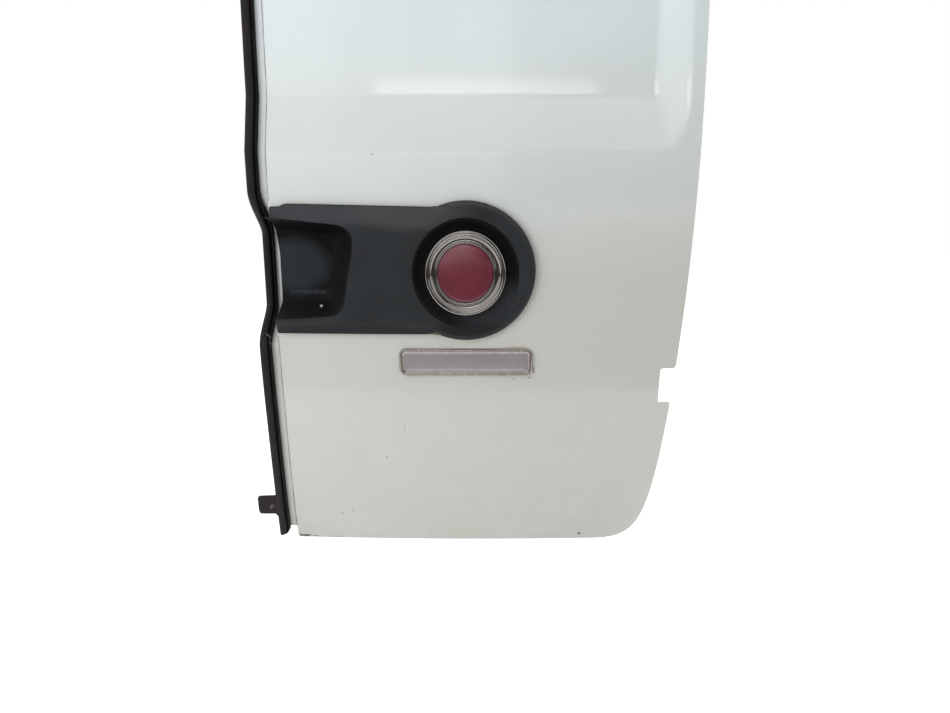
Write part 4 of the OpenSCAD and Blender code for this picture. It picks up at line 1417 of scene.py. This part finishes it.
@dataclass
class InnerSide:
    """The inner panel, its trim board and the small fittings on them."""

    shop: Workshop
    panel: float = 108.0
    board: float = 111.3
    middle: float = 390.0
    recess: Pair = (3.4, 0.6)

    def button(self, profile: Pairs, place: Triple) -> Mesh:
        """One closed round fitting that faces into the vehicle.

        Args:
            profile: Radius and height pairs from the rim to the middle.
            place: Its distance from the seal, the depth of the face that it sits on, and its height.

        Returns:
            The mesh object.
        """
        base = Turning(place, (-1, 0, 0), (0, 0, 1), (0, 1, 0))
        return turned("button", [(0.01, 0.0), *profile, (0.01, profile[-1][1])], base, 40)

    def set_of(self, name: str, profile: Pairs, places: list[Triple], slot: Slot, source: str) -> None:
        """Makes one kind of fitting at each of its places, each with its own mesh.

        Args:
            name: The piece's name.
            profile: Its section.
            places: Where they sit.
            slot: The record's slot, which also says what they are made of.
            source: The node that they replace.
        """
        finish = self.shop.rubber if slot is Slot.SEAL else self.shop.satin
        piece = joined(name, [self.button(profile, place) for place in places])
        self.shop.fit(piece, 32, finish, slot, source)

    def screws(self) -> None:
        """Pan head screws with a cross recess."""
        gear = LatchGear(self.shop)
        y = self.panel + 24.3
        places = [(gear.x + k * 48, y, gear.z + m * 34.2) for k in (-1, 1) for m in (-1, 1)]
        places += [(gear.bolt_x + k * 25.2, y, z) for k in (-1, 1) for z in (74.1, 1790.0)]
        places += [(self.middle + k * 77.4, self.panel + 37.6, 560.4) for k in (-1, 1)]
        profile = [(6.0, 0.0), (6.0, 0.9), (5.6, 1.8), (4.6, 2.6), (3.0, 3.0), (1.2, 3.1)]
        long, wide = self.recess
        slit = ((-long, -wide), (long, -wide), (long, wide), (-long, wide))
        heads = []
        for i, (x, y, z) in enumerate(places):
            head = self.button(profile, (x, y, z))
            turn = math.radians(23 * i + 9)
            for quarter in (0.0, math.pi / 2):
                a, b = math.cos(turn + quarter), math.sin(turn + quarter)
                corners = [(x + u * a - v * b, z + u * b + v * a) for u, v in slit]
                cut(head, plate("recess", corners, y + 1.5, y + 5))
            heads.append(head)
        self.shop.fit(joined("screw_heads", heads), 32, self.shop.zinc, Slot.ZINC, "fixings")

    def small_fittings(self) -> None:
        """The clips of the board, and the grommets, plugs and buffers of the panel."""
        clip = [(9.0, 0.0), (9.0, 0.7), (8.2, 1.5), (6.0, 2.1), (3.4, 2.3), (3.0, 1.6), (1.0, 1.4)]
        places = [(self.middle + k * 240, self.board + 0.2, z) for k in (-1, 0, 1) for z in (112.0, 772.0)]
        self.set_of("push_clips", clip, places, Slot.SATIN, "board_clips")
        grommet = [
            (15.0, 0.0), (15.0, 1.2), (14.2, 2.4), (12.4, 3.0), (11.0, 2.4),
            (10.2, 1.4), (6.0, 1.3), (4.0, 2.0), (1.0, 2.3),
        ]
        places = [(x, self.panel, z) for x in (139.9, 598.3) for z in (1062.4, 1767.3)]
        self.set_of("panel_grommets", grommet, places, Slot.SEAL, "blanking_grommets")
        plug = [(10.0, 0.0), (10.0, 0.9), (9.2, 1.9), (7.2, 2.4), (6.2, 1.6), (1.0, 1.5)]
        places = [(400 + k * FORM.width, self.panel, 52.1) for k in (-0.26, 0, 0.26)]
        self.set_of("drain_caps", plug, places, Slot.SEAL, "drain_plugs")
        buffer = [
            (14.0, 0.0), (14.0, 1.6), (12.6, 2.2), (12.2, 3.4), (12.4, 5.4),
            (11.0, 6.6), (8.0, 7.0), (7.0, 6.0), (4.0, 5.6), (1.0, 5.6),
        ]
        places = [(649.6, self.panel, z) for z in (60.1, 1740.0)]
        self.set_of("stop_buffers", buffer, places, Slot.SEAL, "edge_buffers")

    def build(self) -> None:
        """Makes the board with its handle and release, and the plugs of the panel."""
        shop = self.shop
        shop.soften("swaged_beads", "panel_beads", shop.inner, Slot.PAINT, 3.6, 5)
        shop.soften("inner_sheet", "inner_panel", shop.inner, Slot.PAINT, 0.6, 2)
        shop.soften("bar_channel", "crossbar", shop.inner, Slot.PAINT, 1.2)
        shop.soften("lined_board", "trim_board", shop.board, Slot.BOARD, 1.4)
        shop.soften("release_surround", "release_bezel", shop.satin, Slot.SATIN, 1.7, 4)
        shop.soften("release_paddle", "release_lever", shop.satin, Slot.SATIN, 2.2, 4)
        shop.soften("grab_handle", "pull_handle", shop.satin, Slot.SATIN, 5.0, 6)
        self.small_fittings()
        self.screws()


# Studio


@dataclass
class Studio:
    """The floor, the lamps and the camera."""

    pitch: float = 13.0
    lens: float = 28.04
    stand: Triple = (380.0, -1330.8, 710.5)
    world: float = 0.45

    @property
    def ground(self) -> float:
        """Height of the floor, just under the leaf's foot."""
        return float(FORM.place(np.array([0.0, 0.0, -0.2]))[2])

    def floor(self) -> None:
        """White paper under and round the leaf."""
        let_go()
        bpy.ops.mesh.primitive_plane_add(size=14, location=(-0.35, 0.0, self.ground))
        piece = named("studio_floor")
        piece.data.materials.append(Paper("studio_paper", "#FFFFFF", 1.0).build())

    def lamp(
        self, name: str, place: Triple, aim: Triple, size: Pair, power: float, mirrored: bool = True
    ) -> None:
        """One rectangular lamp.

        Args:
            name: Its name.
            place: Where it stands, in metres.
            aim: The point that it looks at.
            size: Its width and height.
            power: Its watts.
            mirrored: False where glossy surfaces don't show it.
        """
        let_go()
        bpy.ops.object.light_add(type="AREA", location=place)
        lamp = bpy.context.active_object
        lamp.name = name
        lamp.rotation_euler = (Vector(aim) - Vector(place)).to_track_quat("-Z", "Z").to_euler()
        lamp.data.shape = "RECTANGLE"
        lamp.data.size, lamp.data.size_y = size
        lamp.data.energy = power
        lamp.visible_glossy = mirrored

    def card(self, name: str, size: Pair, place: Triple, turn: Triple) -> None:
        """A dark card that only mirrors see, as a photographer sets up for polished metal.

        Args:
            name: Its name.
            size: Its width and height.
            place: Its middle.
            turn: Its turning, in degrees.
        """
        let_go()
        turned_by = [math.radians(a) for a in turn]
        bpy.ops.mesh.primitive_plane_add(size=1, location=place, rotation=turned_by)
        piece = named(name)
        piece.scale = (*size, 1)
        hold(piece)
        bpy.ops.object.transform_apply(location=True, rotation=True, scale=True)
        piece.data.materials.append(Felt("black_felt", "#3A3938", 0.9).build())
        for ray in ("camera", "diffuse", "shadow", "transmission"):
            setattr(piece, f"visible_{ray}", False)

    def backdrop(self) -> None:
        """A world that lights softly and shows white to the camera and to mirrors."""
        world = bpy.data.worlds.new("studio_world")
        bpy.context.scene.world = world
        world.use_nodes = True
        tree = world.node_tree
        tree.nodes.clear()
        sockets = {"Value": seen_white(tree), "To Min": self.world, "To Max": 1.0}
        level = node(tree, "MapRange", sockets).outputs["Result"]
        shade = node(tree, "Background", {"Color": WHITE, "Strength": level})
        node(tree, "OutputWorld", {"Surface": shade.outputs["Background"]})

    def camera(self) -> None:
        """The camera, at the place and angle found by trial to show what the photograph shows."""
        let_go()
        eye = tuple(float(v) for v in FORM.place(np.array(self.stand)))
        bpy.ops.object.camera_add(location=eye, rotation=(math.radians(90 - self.pitch), 0, 0))
        camera = bpy.context.active_object
        camera.data.lens = self.lens
        camera.data.sensor_width = 36
        camera.data.sensor_fit = "HORIZONTAL"
        bpy.context.scene.camera = camera

    def build(self) -> None:
        """Sets the studio up."""
        self.floor()
        self.backdrop()
        self.lamp("key_panel", (-2.35, -1.75, 0.85), (-0.35, 0, 0.35), (2.0, 2.0), 42, False)
        self.lamp("fill_panel", (1.2, -1.4, 2.4), (-0.15, 0, 0.9), (1.2, 1.2), 14.5, False)
        self.lamp("strip_panel", (-0.29, -2.56, 0.982), (-0.3, 0, 0.5), (1.46, 0.1), 2.9)
        self.lamp("back_panel", (-0.35, 2.4, 2.0), (-0.35, 0, 0.5), (2.4, 1.2), 40)
        self.card("front_card", (4.6, 4.2), (2.3, -5.0, 2.1), (90, 0, 0))
        self.card("ground_card", (9.0, 5.4), (-0.35, -3.3, self.ground + 0.02), (0, 0, 0))
        self.camera()
        bpy.context.scene.view_settings.view_transform = "Standard"
        LOG.info("studio: floor, lamps and camera")


def main() -> None:
    """Builds the leaf and its studio."""
    logging.basicConfig(level=logging.INFO, format="%(message)s")
    shop = Workshop()
    for assembly in (OuterShell, EdgeSeal, HandlePlate, Badge, HingeSeats, LatchGear, InnerSide):
        assembly(shop).build()
    Studio().build()


if __name__ == "__main__":
    main()
